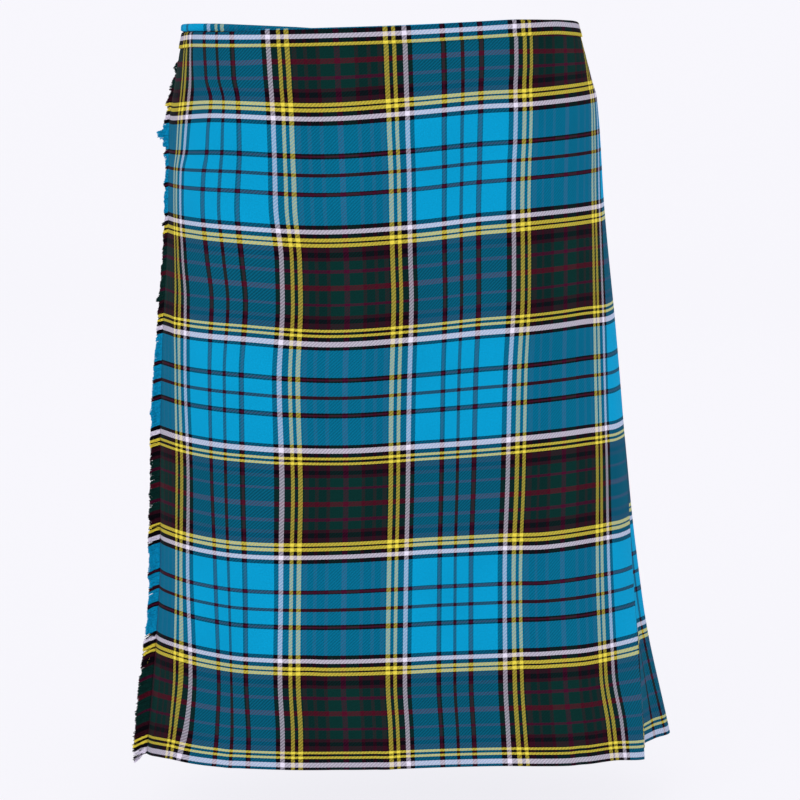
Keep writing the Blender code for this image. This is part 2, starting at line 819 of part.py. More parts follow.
def main():
    clear_scene()
    kilt = collection("kilt")
    cutters = collection("cutters")
    finishes = {
        "tartan": material("wool_tartan", (0.02, 0.20, 0.38), 0.85),
        "band": material("wool_band", (0.03, 0.24, 0.42), 0.85),
        "fringe": material("wool_fringe", (0.02, 0.10, 0.20), 0.9),
        "leather": material("black_leather", (0.012, 0.011, 0.011), 0.5),
        "steel": material("plated_steel", (0.62, 0.62, 0.64), 0.25, 1.0),
    }
    cloth = finishes["tartan"]
    ribbon("over_apron", over_apron_path, cloth, kilt, CLOTH_MM)
    ribbon("under_apron", under_path, cloth, kilt, CLOTH_MM, under_rise)
    ribbon("deep_pleat", deep_pleat_path, cloth, kilt, PLEAT_CLOTH_MM)
    pleats = ribbon("pleats_left", pleats_left_path, cloth, kilt, PLEAT_CLOTH_MM)
    ribbon("pleats_right", pleats_right_path, cloth, kilt, PLEAT_CLOTH_MM)
    profiles = [band_profile(station) for station in band_stations()]
    loft("waistband", profiles, finishes["band"], kilt)
    add_fringe(finishes["fringe"], kilt)
    add_straps(finishes, kilt, cutters)
    slot = at(EDGES, "left_edge", STRAP_DROP) + SLOT_FROM_EDGE_MM
    along, up = directions(slot)
    size = (SLOT_MM, SLOT_HEIGHT_MM, 14.0)
    cut(pleats, at_strap(slot, 0, -3.0), along, up, size, cutters)


main()
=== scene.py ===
"""Dresses a wrap kilt's solids: twill-woven wool tartan with its frayed edge, leather
straps and steel buckles, on a plain pale stage.

Metres, +Z up, +X towards the wearer's left, -Y towards the front. Lengths that end in
_MM are millimetres. Cloth is placed in the kilt's own coordinates, by three numbers:
  around  how far round the body, from the front centre towards the wearer's left, in mm
  drop    how far down from the top edge, as a share of the kilt's length
  out     how far outwards from the kilt's outer surface, in mm
Two more say where that point was on the flat cloth, and become its UV map in metres:
  u       across, from the middle of the dark block at the front centre, in mm
  v       down, from the top edge, in mm
"""

import math
import random
from bisect import bisect_right
from functools import lru_cache

import bmesh
import bpy
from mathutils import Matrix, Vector


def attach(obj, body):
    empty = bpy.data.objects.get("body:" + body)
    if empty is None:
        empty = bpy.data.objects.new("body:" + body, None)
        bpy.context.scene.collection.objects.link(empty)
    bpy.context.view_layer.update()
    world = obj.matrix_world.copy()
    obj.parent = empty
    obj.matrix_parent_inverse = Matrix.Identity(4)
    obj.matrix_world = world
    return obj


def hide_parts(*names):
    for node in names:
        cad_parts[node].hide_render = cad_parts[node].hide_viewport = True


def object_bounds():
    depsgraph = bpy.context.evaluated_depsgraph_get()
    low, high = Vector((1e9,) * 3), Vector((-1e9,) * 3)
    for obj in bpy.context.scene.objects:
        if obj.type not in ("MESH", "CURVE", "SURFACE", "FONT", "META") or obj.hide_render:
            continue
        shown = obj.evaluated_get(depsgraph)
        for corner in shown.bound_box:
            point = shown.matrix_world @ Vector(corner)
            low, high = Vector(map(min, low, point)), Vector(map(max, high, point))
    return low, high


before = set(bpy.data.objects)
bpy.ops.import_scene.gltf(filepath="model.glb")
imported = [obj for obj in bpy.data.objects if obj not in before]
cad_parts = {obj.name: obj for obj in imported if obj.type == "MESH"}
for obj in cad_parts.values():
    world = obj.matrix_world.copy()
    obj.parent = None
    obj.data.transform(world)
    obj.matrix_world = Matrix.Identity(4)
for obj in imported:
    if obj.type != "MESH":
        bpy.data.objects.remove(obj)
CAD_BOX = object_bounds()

bl_info = {
    "name": "Wrap Kilt",
    "version": (1, 0, 0),
    "blender": (4, 5, 0),
    "location": "View3D > Sidebar > Kilt",
    "description": "Dresses a wrap kilt in woven wool, fringe, leather and steel",
    "category": "Object",
}

MM = 0.001


def table(columns, rows):
    """Rows of named columns, as a dictionary for each row."""
    return [dict(zip(columns, row)) for row in rows]


# ------------------------------------------------------------------ the kilt's form

LENGTH_MM = 610.0
RISE_MM = 40.0
CLOTH_MM = 1.2
PLEAT_CLOTH_MM = 1.0
SEAM_GAP_MM = 0.3
BAND_MM = 17.0
BAND_CLOTH_MM = 1.0
BAND_LIP_MM = 0.6
BAND_OVER_PLEATS_MM = 0.65
STRAP_DROP = 0.075

# The solids are straight between these drops. The cloth here takes a smooth curve that
# meets them at each, and stays with them where the straps lie on it.
SOLID_ROWS = (0.0, BAND_MM / LENGTH_MM, 0.12, 0.27, 0.43, 0.60, 0.74, 0.87, 1.0)
KNOTS = tuple(sorted(SOLID_ROWS + (0.052, 0.098)))

FORM = table((
    "drop", "half_width", "depth", "front", "back", "shift", "slope", "side_drop",
), (
    (0, 158.7, 87.4, 90.8, 92, -4, 0.0535, -4.9),
    (0.12, 177.1, 104.7, 89.8, 108, 3, 0.0434, -4.6),
    (0.3, 184.8, 116.5, 88.3, 120, 7.6, 0.0282, -4.2),
    (0.5, 198.4, 127.7, 84.5, 122, 12.6, 0.0113, -3.8),
    (0.75, 209.2, 130, 76.9, 124, 21.2, -0.0098, 1.2),
    (1, 237.3, 142.1, 69.3, 130, 29.7, -0.0309, 6.2),
))
FRONT_ROUNDNESS = 2.55
BACK_ROUNDNESS = 2.15
RING_STEPS = 240

FOLDS = table(("around", "width", "top", "depth"), (
    (-215, 46, 0.3, 2.6), (-150, 60, 0.45, -2.2), (-62, 58, 0.55, 1.8),
    (30, 66, 0.5, -1.6), (112, 52, 0.42, 2.2), (172, 40, 0.5, -2),
))

# Creases that only the cloth has: soft troughs, and ridges where depth is above zero.
CREASES = table(("top", "bottom", "around_top", "around_bottom", "width", "depth"), (
    (0.24, 0.4, -188, -170, 15, -1.5), (0.3, 0.47, -214, -206, 12, 1.1),
    (0.03, 0.16, -176, -166, 13, -0.9), (0.05, 0.2, -60, -74, 18, -0.7),
    (0.34, 0.72, -108, -122, 22, 0.9), (0.55, 0.98, -20, -12, 26, 0.9),
    (0.16, 0.44, 70, 58, 24, -0.8), (0.4, 0.8, 186, 172, 16, -1.2),
    (0.62, 1.02, 84, 78, 17, -1.3), (0.74, 1.04, -96, -104, 15, -1.4),
    (0.86, 1.06, -40, -38, 11, 1.2), (0.88, 1.06, 128, 132, 10, -1.1),
    (0.88, 1.06, -170, -172, 10, 1), (0.28, 0.62, 330, 338, 30, -1.3),
    (0.5, 0.96, 402, 396, 34, 1.2), (0.34, 0.78, 480, 492, 30, -1.4),
    (0.6, 1.04, -420, -432, 30, 1.3), (0.3, 0.66, -372, -366, 28, -1.2),
    (0.46, 0.92, -500, -508, 32, -1.2),
))

EDGES = table(("drop", "right_edge", "left_edge", "flank_width"), (
    (0, -240, 226, 44), (0.3, -248, 214, 58), (0.5, -253, 219, 68),
    (0.75, -263, 212, 78), (1, -266, 204, 92),
))
APRON_OUT_MM = -CLOTH_MM / 2
RETURN_OUT_MM = -2.9
INNER_OUT_MM = -4.9
RETURN_MM = 7.0
DEEP_PLEAT_SHARE = 0.1  # of the over apron's width
DEEP_PLEAT_SEAM_MM = 13.0
DEEP_PLEAT_U_MM = 4.0  # of cloth between it and the over apron's own return

UNDER_OUTS = table(("drop", "out"), ((0, -5.1), (0.13, -5.1), (0.3, -3.6), (1, -4.2)))
UNDER_SHARE = 33 / 40  # of the over apron's width
UNDER_BENEATH_MM = 0.4  # how far it lies inside the last pleat's inmost layer
UNDER_U_MM = 30.0  # the cloth from the last pleat's fold to the kilt's right edge

PLEATS = 24
PLEATS_LEFT = 12
LAST_FOLD_MM = 27.0
UNDERLAPS = table(("drop", "underlap", "spread"), (
    (0, 4, 1.45), (0.12, 5, 1.65), (0.3, 8, 1.7),
    (0.55, 11.5, 1.9), (1, 14.5, 2.5),
))
PLEAT_FACE_MM = -PLEAT_CLOTH_MM / 2
PLEAT_CLEAR_MM = 0.35  # between a pleat's face and its own underlap
PLEAT_LOW_SHARE = 0.07  # of its width, before its face starts to rise
PLEAT_RISE_MM = 1.5  # from the end of that rise to the end of the underlap
FOLD_STRAY_MM = 0.7  # how far a fold wanders where it hangs free
FOLD_UNEVEN_MM = 0.25  # how far it is from its even place all the way down
FLANKS = table(("drop", "first", "second", "third"), (
    (0, -3.1, -1.5, -0.6), (0.3, -3, -1.3, -0.4), (0.5, -3.4, -1.6, 0.8),
    (0.67, -4.6, -3.6, 4.4), (0.87, -9.2, -10.5, -0.6), (1, -14, -11, 0.4),
))
SLOT_FROM_EDGE_MM = 17.0
SLOT_MM = 25.0
SLOT_HEIGHT_MM = 31.0
FORM_AXIS_MM = (12.0, 25.0)  # a place inside the waist, which the cloth faces away from

# The grids of the cloth.
APRON_COLUMNS = 112
TURN_STEPS = 5  # in the half turn of each fold
FLANK_STEPS = 4  # between two marks of the flank
UNDER_TUCK_COLUMNS = 10  # beneath the last pleat
UNDER_COLUMNS = 84
APRON_ROWS = 152
DEEP_PLEAT_ROWS = 76
PLEAT_ROWS = 100
UNDER_ROWS = sorted([k / 100 for k in range(101)] + [0.002, 0.004, 0.006, 0.008])
BAND_COLUMNS = 40  # across the over apron
BAND_DEEP_FROM = 35  # the first of them over the deep pleat
BAND_FLANK_MM = (4.0, 12.0, 22.5, 33.0)  # from the over apron's edge

# A strap's rows of stitches: from its middle, each stitch with the gap after it, how
# much of that the stitch is, and half its thread's thickness.
STITCH_ROW_MM = 9.0
STITCH_MM = 4.4
STITCH_SHARE = 0.64
STITCH_LINE_MM = 0.42
STRAP_EDGE_MM = 11.3
STRAP_CENTRE_Y_MM = 40.0  # the middle of the body, which the stitches are spaced round
STRAP_FINISHES = {
    "strap": "leather", "tab": "leather", "keeper": "leather", "buckle": "steel",
    "prong": "steel",
}

# ------------------------------------------------------- the tartan, charted

# Half a repeat of each set of threads, from the middle of the blue block to the middle
# of the dark one, as the yarn and the width of its stripe in mm. It's mirrored at both.
WARP_CHART = (
    ("maroon", 1.3), ("azure", 10.8), ("black", 1.1), ("claret", 2.1), ("black", 1.2),
    ("azure", 21.3), ("black", 3.4), ("white", 4.0), ("black", 4.6), ("yellow", 3.3),
    ("black", 2.6), ("yellow", 3.3), ("black", 1.5), ("maroon", 3.8), ("pine", 5.4),
    ("maroon", 2.3), ("pine", 6.7), ("maroon", 3.2), ("green", 10.6), ("claret", 2.45),
)
WEFT_CHART = (
    ("maroon", 1.1), ("azure", 11.8), ("black", 1.0), ("claret", 1.8), ("black", 1.0),
    ("azure", 22.3), ("black", 3.2), ("white", 3.9), ("black", 3.3), ("yellow", 2.6),
    ("black", 1.5), ("yellow", 2.6), ("black", 0.8), ("maroon", 3.7), ("black", 3.8),
    ("maroon", 2.8), ("green", 7.4), ("claret", 2.3), ("green", 10.3), ("red", 2.25),
)
WARP_HALF_MM = sum(width for _, width in WARP_CHART)
WEFT_HALF_MM = sum(width for _, width in WEFT_CHART)
BLUE_MIDDLE_V_MM = 113.0  # the first blue block's middle, below the top edge
BAND_EDGE_V_MM = BLUE_MIDDLE_V_MM + 51.85  # the waistband's cloth row at its lower edge
BAND_UNDER_U_MM = 105.2  # how its second lap's pattern lies, over the under apron
FLANK_FOLD_U_MM = 316.0  # the cloth column at the flank's own fold
PATTERN_TRUE_DROP = 0.34  # where the pleats' pattern carries on from fold to fold

# How the over apron's cloth columns lean to the wearer's right on their way down.
COLUMN_AT_TOP_MM = -46.3
COLUMN_LEAN_MM = -25.9

# How far its columns also sway to the wearer's right, at these places round the body:
# the cloth puckers along its frayed edge, and eases over the hip and at the hem.
SWAY_AROUND_MM = (-217, -203, -178, -168, -159, -133, -104, 0, 45, 85, 183, 212)
SWAYS = table((
    "drop", "fray", "selvedge", "edge", "by_edge", "near_edge", "right_hip",
    "right_front", "middle", "by_middle", "left_front", "left_hip", "fold",
), (
    (0, -9, -9, -9, -3.5, 2, 4, 4, 0, -2, -4.5, -1, -4),
    (0.06, -7.7, -7.7, -7.7, -3, 1.7, 4.5, 4, 0.5, -1.7, -3.8, -0.5, -4),
    (0.09, -5.5, -5.5, -5.5, -4.2, -2.8, 2.2, 3.7, 0.6, -1.2, -2.4, 0, -4),
    (0.13, -1.5, -1.5, -1.5, 0.5, 2.4, 2.6, 3.6, 0.7, 0.2, -1.7, 0, -4),
    (0.16, 1.5, 1.5, 1.5, 2.7, 3.8, 2.6, 3.2, 0.2, 0.4, -1.2, 1, -4),
    (0.19, 8, 8, 8, 7.2, 6.3, 3.5, 2.8, -0.5, 0.3, -0.4, 1.5, -4),
    (0.23, 9.3, 9.3, 9.3, 8.4, 7.5, 4.5, 2.2, -1, 0.6, -0.2, 2.5, -4),
    (0.3, 5.5, 5.5, 5.5, 4.5, 3.5, 1, -2.3, -2, 0.1, -1.1, 2.9, -4.5),
    (0.36, 0.4, 0.4, 0.4, 0, -0.5, -2, -3.1, -3.3, -0.5, -1.5, 3.4, -5),
    (0.46, -0.4, -0.4, 0.6, 2.3, 2.6, 1.6, -0.6, -2.1, 1.2, 1.1, 3.8, -6),
    (0.6, -2.6, -4, -0.5, 2.5, 2.6, 1.5, -2.3, -0.6, 2.6, 2.7, 2.9, -9),
    (0.73, -1.3, -1.8, -0.5, 1.2, 2.4, 1.4, 0.2, 1.7, 5, 5.2, 3.2, -9.5),
    (0.88, -1.7, -5.6, -2.5, 0.3, 2.5, 3, 2, 2.9, 4.7, 3.4, 1, -9.5),
    (0.95, 1.9, -2.6, 0, 0.9, 1, 1.6, 0.5, 0.5, 2.3, 0.7, -8, -12),
    (1, 7, 2, 3, 3, 2.2, 2, 0.7, -0.5, 0.8, -2, -11, -12),
))
# How far its rows ride up, at these places round the body.
RIDE_AROUND_MM = (-252, -222, -150, -62, 5, 62, 105, 145, 190)
RIDES = table((
    "drop", "selvedge", "edge", "right_hip", "right_front", "middle", "left_front",
    "left_side", "left_hip", "fold",
), (
    (0, 0, 0, 0, 0, 0, 0, 0, 0, 0),
    (0.11, -3.6, -3.6, 0.6, -2.5, -0.6, 0.8, -0.5, -0.8, -1),
    (0.26, 0.6, 1.3, -0.4, -3.9, -2, 0.9, 1, 0.3, -1),
    (0.4, -1.5, 0, -0.2, -3.9, -1.4, 1, 0.7, 0.7, -2),
    (0.55, -1.8, 0, -1.9, -3.2, -0.9, 0.3, 0.8, 0.5, -2.2),
    (0.7, -1.6, 0.1, -2.8, -0.8, 1.4, 1.8, 0.3, 0.7, -0.6),
    (0.85, 0.8, 2.2, -2.5, -1.9, -1.3, -1, -0.9, -1.7, -1.2),
    (1, 0, 0, 0, 0, 0, 0, 0, 0, 0),
))
EASES = {"sway": (SWAYS, SWAY_AROUND_MM), "ride": (RIDES, RIDE_AROUND_MM)}
# How far in from the edge its last upright yarn lies, where the weft is frayed loose.
FRAYED = table(("drop", "frayed"), (
    (0, 0), (0.06, 0), (0.1, 2.5), (0.14, 4.8), (0.2, 4.4),
    (0.28, 4), (0.36, 5), (0.84, 5), (0.93, 2), (1, 0),
))
# How far the loose yarns of its frayed edge stand out and hang, in mm.
FRAYS = table(("drop", "reach", "hang"), (
    (0.03, 3.4, 1), (0.08, 5, 1), (0.12, 4.4, 0.8), (0.2, 3.6, 1.2),
    (0.3, 3.8, 1.6), (0.4, 5, 2), (0.5, 7.4, 2.8), (0.6, 8.6, 3.2),
    (0.7, 10, 3.8), (0.8, 9, 4.2), (0.9, 11, 4.6), (1, 12.6, 5),
))
# Tufts that stray from the rest: at this drop, this far up and down, by so many mm.
TUFTS = table(("drop", "half", "reach", "hang"), (
    (0.048, 0.007, 2.6, 0.5), (0.078, 0.006, 1.8, 0.5), (0.104, 0.008, -1, 0.5),
    (0.142, 0.009, 6, -0.5), (0.172, 0.005, -2, 0.6), (0.262, 0.004, 2.2, 1.5),
    (0.365, 0.005, 2, 2), (0.52, 0.004, 1.5, 3.5), (0.655, 0.005, -2.5, 2),
    (0.838, 0.004, -3, 12), (0.858, 0.003, -4, 9), (0.935, 0.004, 1.5, 3),
    (0.993, 0.006, -1, 7),
))
# The worn top edge: how far the band and the cloth in it fall, and how much narrower
# the band shows there than the strip's full width.
TOPS = table(("around", "fall", "trim"), (
    (-260, 0, 4.4), (-205, -0.8, 5.6), (-170, -2.5, 6.7), (-128, -2.5, 6.4),
    (-100, -2.5, 4.6), (-52, -2.4, 4.6), (0, -2, 4.8), (45, -1.6, 5.2),
    (92, -0.8, 5.6), (115, 0, 6.6), (135, 1, 7.4), (160, 3.8, 7),
    (190, 6.6, 6.4), (226, 7.4, 5.4), (262, 6.4, 4.4), (310, 3.6, 3.8),
    (380, 1, 3.8), (460, 0, 3.8), (520, -3, 3.8), (552, -5.2, 3.8),
    (600, -5.2, 3.8),
))
TOP_EVEN = 0.015
TOP_FADE = 0.09
# How far the under apron's edge of the top stands above the level of the form.
UNDER_TOPS = table(("around", "rise"), (
    (-320, -3.8), (-285, -1), (-262, 1.2), (-212, 1.6), (-170, 2.2),
    (-150, 2.2), (-125, 1.4), (-104, 0.4), (-75, -1.4), (-40, -4.6),
    (0, -5.6), (60, -6.6), (110, -10), (150, -13.5),
))
# How far that edge leans outwards over the band in front of it, in mm.
UNDER_LEANS = table(("around", "lean"), (
    (-310, 0), (-268, 2.4), (-236, 5), (-205, 5.4), (-182, 3.4), (-155, 0),
))
UNDER_LEAN_FROM_MM = -4.6
UNDER_LEAN_TO_MM = -1.4
LEAN_TO_DROP = 0.02
# How far the over apron's hem hangs below the level of the form, from this drop down.
HEM_SAG_FROM = 0.84
HEM_SAGS = table(("around", "sag"), (
    (-290, 6.6), (-262, 6.2), (-240, 3.2), (-222, 1.4), (-170, 2.8), (-110, 2),
    (-77, 1), (-11, 1.4), (49, 1.5), (93, 2.4), (125, 3.6), (165, 4.2),
    (204, 8), (240, 8.5),
))

# The frayed edge's yarns: how many clumps they lie in, the parts of each yarn, and
# the drops that they start and end at.
CLUMPS = 130
STRAND_PARTS = 5
FRINGE_DROPS = (0.03, 0.999)

# ------------------------------------------------------------- the stage's own sizes

TARGET_M = (0.0142, 0.0, -0.2719)
LENS_MM = 107.27
CAMERA_TURN_DEGREES = -10.0
CAMERA_RISE_DEGREES = 9.0
CAMERA_DISTANCE_M = 2.0
FLOOR_BELOW_M = 0.06  # from the hem down to the sweep
COVE_M = 2.0
COVE_STEPS = 8
SWEEP_TOP_M = 7.0
WORLD_STRENGTH = 0.6
LIGHTS = (
    ("key", (-1.4, -2.2, 1.9), 1.8, "key", "#FFFDFA"),
    ("fill", (1.2, -2.7, 0.8), 2.0, "fill", "#FAFCFF"),
    ("back", (0.4, 2.6, 1.6), 2.0, "fill", "#FFFFFF"),
)


def curve_value(rows, name, at_place, key="drop"):
    """The value of a column at this place, on a smooth curve that never overshoots."""
    steps = [(b[name] - a[name]) / (b[key] - a[key]) for a, b in zip(rows, rows[1:])]
    inner = [
        0.0 if before * after <= 0 else 2 * before * after / (before + after)
        for before, after in zip(steps, steps[1:])
    ]
    tangents = [steps[0]] + inner + [steps[-1]]
    at_place = min(max(at_place, rows[0][key]), rows[-1][key])
    k = min(bisect_right([row[key] for row in rows], at_place), len(rows) - 1) - 1
    a, b = rows[k], rows[k + 1]
    width = b[key] - a[key]
    t = (at_place - a[key]) / width
    return (
        (2 * t**3 - 3 * t**2 + 1) * a[name]
        + (t**3 - 2 * t**2 + t) * width * tangents[k]
        + (3 * t**2 - 2 * t**3) * b[name]
        + (t**3 - t**2) * width * tangents[k + 1]
    )


def solid_value(rows, name, drop):
    """The value that the solids have at this drop: straight between their own rows."""
    k = min(max(bisect_right(SOLID_ROWS, drop), 1), len(SOLID_ROWS) - 1)
    above, below = SOLID_ROWS[k - 1], SOLID_ROWS[k]
    a, b = curve_value(rows, name, above), curve_value(rows, name, below)
    return a + (b - a) * (drop - above) / (below - above)


def through_knots(rows):
    """The table again, with a row at each knot, where it agrees with the solids."""
    return [
        {**{name: solid_value(rows, name, drop) for name in rows[0]}, "drop": drop}
        for drop in KNOTS
    ]


SHAPES = {
    "form": through_knots(FORM),
    "edges": through_knots(EDGES),
    "under": through_knots(UNDER_OUTS),
    "pleats": through_knots(UNDERLAPS),
    "flank": through_knots(FLANKS),
}


@lru_cache(maxsize=None)
def at(shape, name, drop):
    """The value of a column of one of the shapes, at this drop."""
    return curve_value(SHAPES[shape], name, drop)


def smooth(t):
    """0 to 1, with a soft start and end."""
    t = min(max(t, 0.0), 1.0)
    return t * t * (3 - 2 * t)


def mix(a, b, part):
    return a + (b - a) * part


class Section:
    """One level section of the form: a closed curve, measured along its length."""

    def __init__(self, drop):
        self.drop = drop
        self.size = {name: at("form", name, drop) for name in FORM[0]}
        self.angles = [2 * math.pi * k / RING_STEPS for k in range(RING_STEPS + 1)]
        points = [self.point(angle) for angle in self.angles]
        self.lengths = [0.0]
        for a, b in zip(points, points[1:]):
            self.lengths.append(self.lengths[-1] + (b - a).length)
        self.girth = self.lengths[-1]

    def halves(self, angle):
        if math.cos(angle) >= 0:
            return self.size["depth"], FRONT_ROUNDNESS
        return self.size["back"], BACK_ROUNDNESS

    def point(self, angle):
        depth, power = self.halves(angle)
        s, c = math.sin(angle), math.cos(angle)
        reach = (abs(s) ** power + abs(c) ** power) ** (-1 / power)
        widest = self.size["depth"] - self.size["front"]
        x = self.size["half_width"] * s * reach
        level = RISE_MM - LENGTH_MM * self.drop + self.size["slope"] * x
        side = self.size["side_drop"] * (x / self.size["half_width"]) ** 2
        return Vector((x + self.size["shift"], widest - depth * c * reach, level - side))

    def normal(self, angle):
        depth, power = self.halves(angle)
        s, c = math.sin(angle), math.cos(angle)
        reach = (abs(s) ** power + abs(c) ** power) ** (-1 / power)
        x = math.copysign(abs(s * reach) ** (power - 1), s) / self.size["half_width"]
        y = -math.copysign(abs(c * reach) ** (power - 1), c) / depth
        return Vector((x, y, 0.0)).normalized()

    def angle(self, around):
        turns, rest = divmod(around, self.girth)
        k = min(bisect_right(self.lengths, rest), RING_STEPS) - 1
        part = (rest - self.lengths[k]) / (self.lengths[k + 1] - self.lengths[k])
        return mix(self.angles[k], self.angles[k + 1], part)


@lru_cache(maxsize=None)
def section(drop):
    return Section(drop)


def fold_depth(around, drop, girth):
    """How far the soft folds and creases move the cloth out, in mm."""
    around = (around + girth / 2) % girth - girth / 2
    depth = 0.0
    for fold in FOLDS:
        across = (around - fold["around"]) / fold["width"]
        if abs(across) < 1 and drop > fold["top"]:
            down = smooth((drop - fold["top"]) / (1 - fold["top"]))
            depth += fold["depth"] * down * math.cos(across * math.pi / 2) ** 2
    for crease in CREASES:
        along = (drop - crease["top"]) / (crease["bottom"] - crease["top"])
        if not 0 < along < 1:
            continue
        middle = mix(crease["around_top"], crease["around_bottom"], along)
        across = (around - middle) / crease["width"]
        if abs(across) < 1:
            ends = smooth(along * 2.5) * smooth((1 - along) * 2.5)
            depth += crease["depth"] * ends * math.cos(across * math.pi / 2) ** 2
    return depth


def on_form(angle, drop, out):
    """The point at this angle round the form, in metres."""
    level = section(min(max(drop, 0.0), 1.0))
    point = level.point(angle) + level.normal(angle) * out
    point.z -= LENGTH_MM * (drop - level.drop)
    return point * MM


def place(around, drop, out):
    """The point at these three coordinates of the kilt, in metres."""
    level = section(min(drop, 1.0))
    out += fold_depth(around, drop, level.girth)
    return on_form(level.angle(around), drop, out)


def lifted(around, drop, out, rise):
    """The same, slid straight up along the form by rise, in mm."""
    if rise == 0:
        return place(around, drop, out)
    level = section(drop)
    there = drop - rise / LENGTH_MM
    near = round(there, 3)
    out += fold_depth(around, drop, level.girth)
    point = on_form(level.angle(around), near, out)
    point.z -= (there - near) * LENGTH_MM * MM
    return point


def apron_column(drop, share):
    """Where a column of the over apron lies: share 0 is its right edge, 1 its left."""
    right, left = at("edges", "right_edge", drop), at("edges", "left_edge", drop)
    return right + (left - right) * share


@lru_cache(maxsize=None)
def selvedge(drop):
    """Where the over apron's last upright yarn lies, short of its loose weft."""
    return at("edges", "right_edge", drop) + curve_value(FRAYED, "frayed", drop)


@lru_cache(maxsize=None)
def fold_positions(drop):
    """Where the folds of all the knife pleats lie: the flank's fold, then each pleat's."""
    first = at("edges", "left_edge", drop) + at("edges", "flank_width", drop)
    last = section(drop).girth + at("edges", "right_edge", drop) - LAST_FOLD_MM
    return [first + (last - first) * k / PLEATS for k in range(PLEATS + 1)]


def pleat_layers(drop):
    spread = at("pleats", "spread", drop)
    return PLEAT_FACE_MM, PLEAT_FACE_MM - spread, PLEAT_FACE_MM - 2 * spread


@lru_cache(maxsize=None)
def ease_rows(kind, drop):
    """The over apron's sway or ride at this drop, as a row for each place round it."""
    rows, places = EASES[kind]
    return [
        {"around": around, "by": curve_value(rows, name, drop)}
        for around, name in zip(places, list(rows[0])[1:])
    ]


def eased(kind, around, drop):
    return curve_value(ease_rows(kind, drop), "by", around, "around")


def apron_u(around, drop):
    """Where the over apron's point was across the flat cloth."""
    sway = eased("sway", around, drop)
    return around - COLUMN_AT_TOP_MM - COLUMN_LEAN_MM * drop + sway


def hem_sag(around, drop):
    """How far the over apron hangs below the form here, in mm."""
    sag = curve_value(HEM_SAGS, "sag", around, "around")
    return sag * smooth((drop - HEM_SAG_FROM) / (1 - HEM_SAG_FROM))


# ------------------------------------------------------------------------- yarns


def linear(code):
    """An sRGB hex colour as linear red, green and blue."""
    parts = (int(code[k : k + 2], 16) / 255 for k in (1, 3, 5))
    return tuple(
        part / 12.92 if part <= 0.04045 else ((part + 0.055) / 1.055) ** 2.4
        for part in parts
    )


def colour_property(name, description, code):
    return bpy.props.FloatVectorProperty(
        name=name, description=description, subtype="COLOR", size=3, min=0.0, max=1.0,
        default=linear(code),
    )


def length_property(name, description, value):
    """A small length in metres, shown in the scene's units."""
    return bpy.props.FloatProperty(
        name=name, description=description, default=value, min=0.0, unit="LENGTH",
        precision=5,
    )


class KiltYarns(bpy.types.PropertyGroup):
    azure: colour_property("Azure", "Ground of the light blocks", "#069ECF")
    white: colour_property("White", "The single guard line", "#F2EAFC")
    yellow: colour_property("Yellow", "The two narrow guard lines", "#F4E04E")
    black: colour_property("Black", "Borders of every line", "#0B0710")
    maroon: colour_property("Maroon", "Edges of the dark block", "#340D1C")
    claret: colour_property("Claret", "Thin lines of both blocks", "#480E2C")
    red: colour_property("Red", "Middle line of the dark block", "#541022")
    pine: colour_property("Pine", "Shaded green of the dark block", "#081E20")
    green: colour_property("Green", "Ground of the dark block", "#08302C")


class KiltCloth(bpy.types.PropertyGroup):
    wall: length_property("Cloth", "Thickness of the aprons' cloth", 0.0011)
    pleat_wall: length_property("Pleat cloth", "Thickness of the pleats' cloth", 0.0009)
    warp_pitch: length_property("Warp pitch", "From one upright thread to the next", 0.00072)
    weft_pitch: length_property("Weft pitch", "From one level thread to the next", 0.0007)
    relief: length_property("Twill relief", "Height of the twill lines", 0.00022)
    sheen: bpy.props.FloatProperty(
        name="Nap", description="Sheen of the wool's nap", default=0.01, min=0, max=1,
        subtype="FACTOR",
    )


class KiltFringe(bpy.types.PropertyGroup):
    strands: bpy.props.IntProperty(
        name="Strands", description="Loose yarns along the frayed edge", default=4600,
        min=10, max=6000,
    )
    yarn: length_property("Yarn", "Thickness of one loose yarn", 0.00105)


class KiltLeather(bpy.types.PropertyGroup):
    leather: colour_property("Leather", "Dyed bridle leather", "#1B1716")
    thread: colour_property("Thread", "Waxed linen stitching", "#8C7F6A")
    steel: colour_property("Steel", "Nickel-plated buckles", "#C9C6C0")


class KiltStage(bpy.types.PropertyGroup):
    backdrop: colour_property("Backdrop", "Matt painted sweep", "#F6F5FB")
    radius: length_property("Radius", "Radius of the sweep's floor", 6.0)
    key: bpy.props.FloatProperty(
        name="Key light", description="Power of the main light", default=17.5, min=0,
        unit="POWER",
    )
    fill: bpy.props.FloatProperty(
        name="Fill light", description="Power of the second light", default=4.5, min=0,
        unit="POWER",
    )


# --------------------------------------------------------------------- materials


def feed(tree, made, inputs):
    """Sets a node's inputs to values, or links them to sockets. A node stands for its
    first output."""
    for name, value in inputs.items():
        if isinstance(value, bpy.types.Node):
            value = value.outputs[0]
        if isinstance(value, bpy.types.NodeSocket):
            tree.links.new(value, made.inputs[name])
        else:
            made.inputs[name].default_value = value


def node(tree, kind, inputs=(), **settings):
    """Adds a node with its settings, and with its inputs, by their names or in order."""
    made = tree.nodes.new("ShaderNode" + kind)
    for name, value in settings.items():
        setattr(made, name, value)
    feed(tree, made, inputs if isinstance(inputs, dict) else dict(enumerate(inputs)))
    return made


def opaque(colour, shade=1.0):
    """A colour, so many times as bright, with the fourth number that a socket takes."""
    return (*(shade * part for part in colour), 1.0)


def new_material(name):
    """An empty material, its tree and its surface shader."""
    made = bpy.data.materials.new(name)
    made.use_nodes = True
    return made, made.node_tree, made.node_tree.nodes["Principled BSDF"]


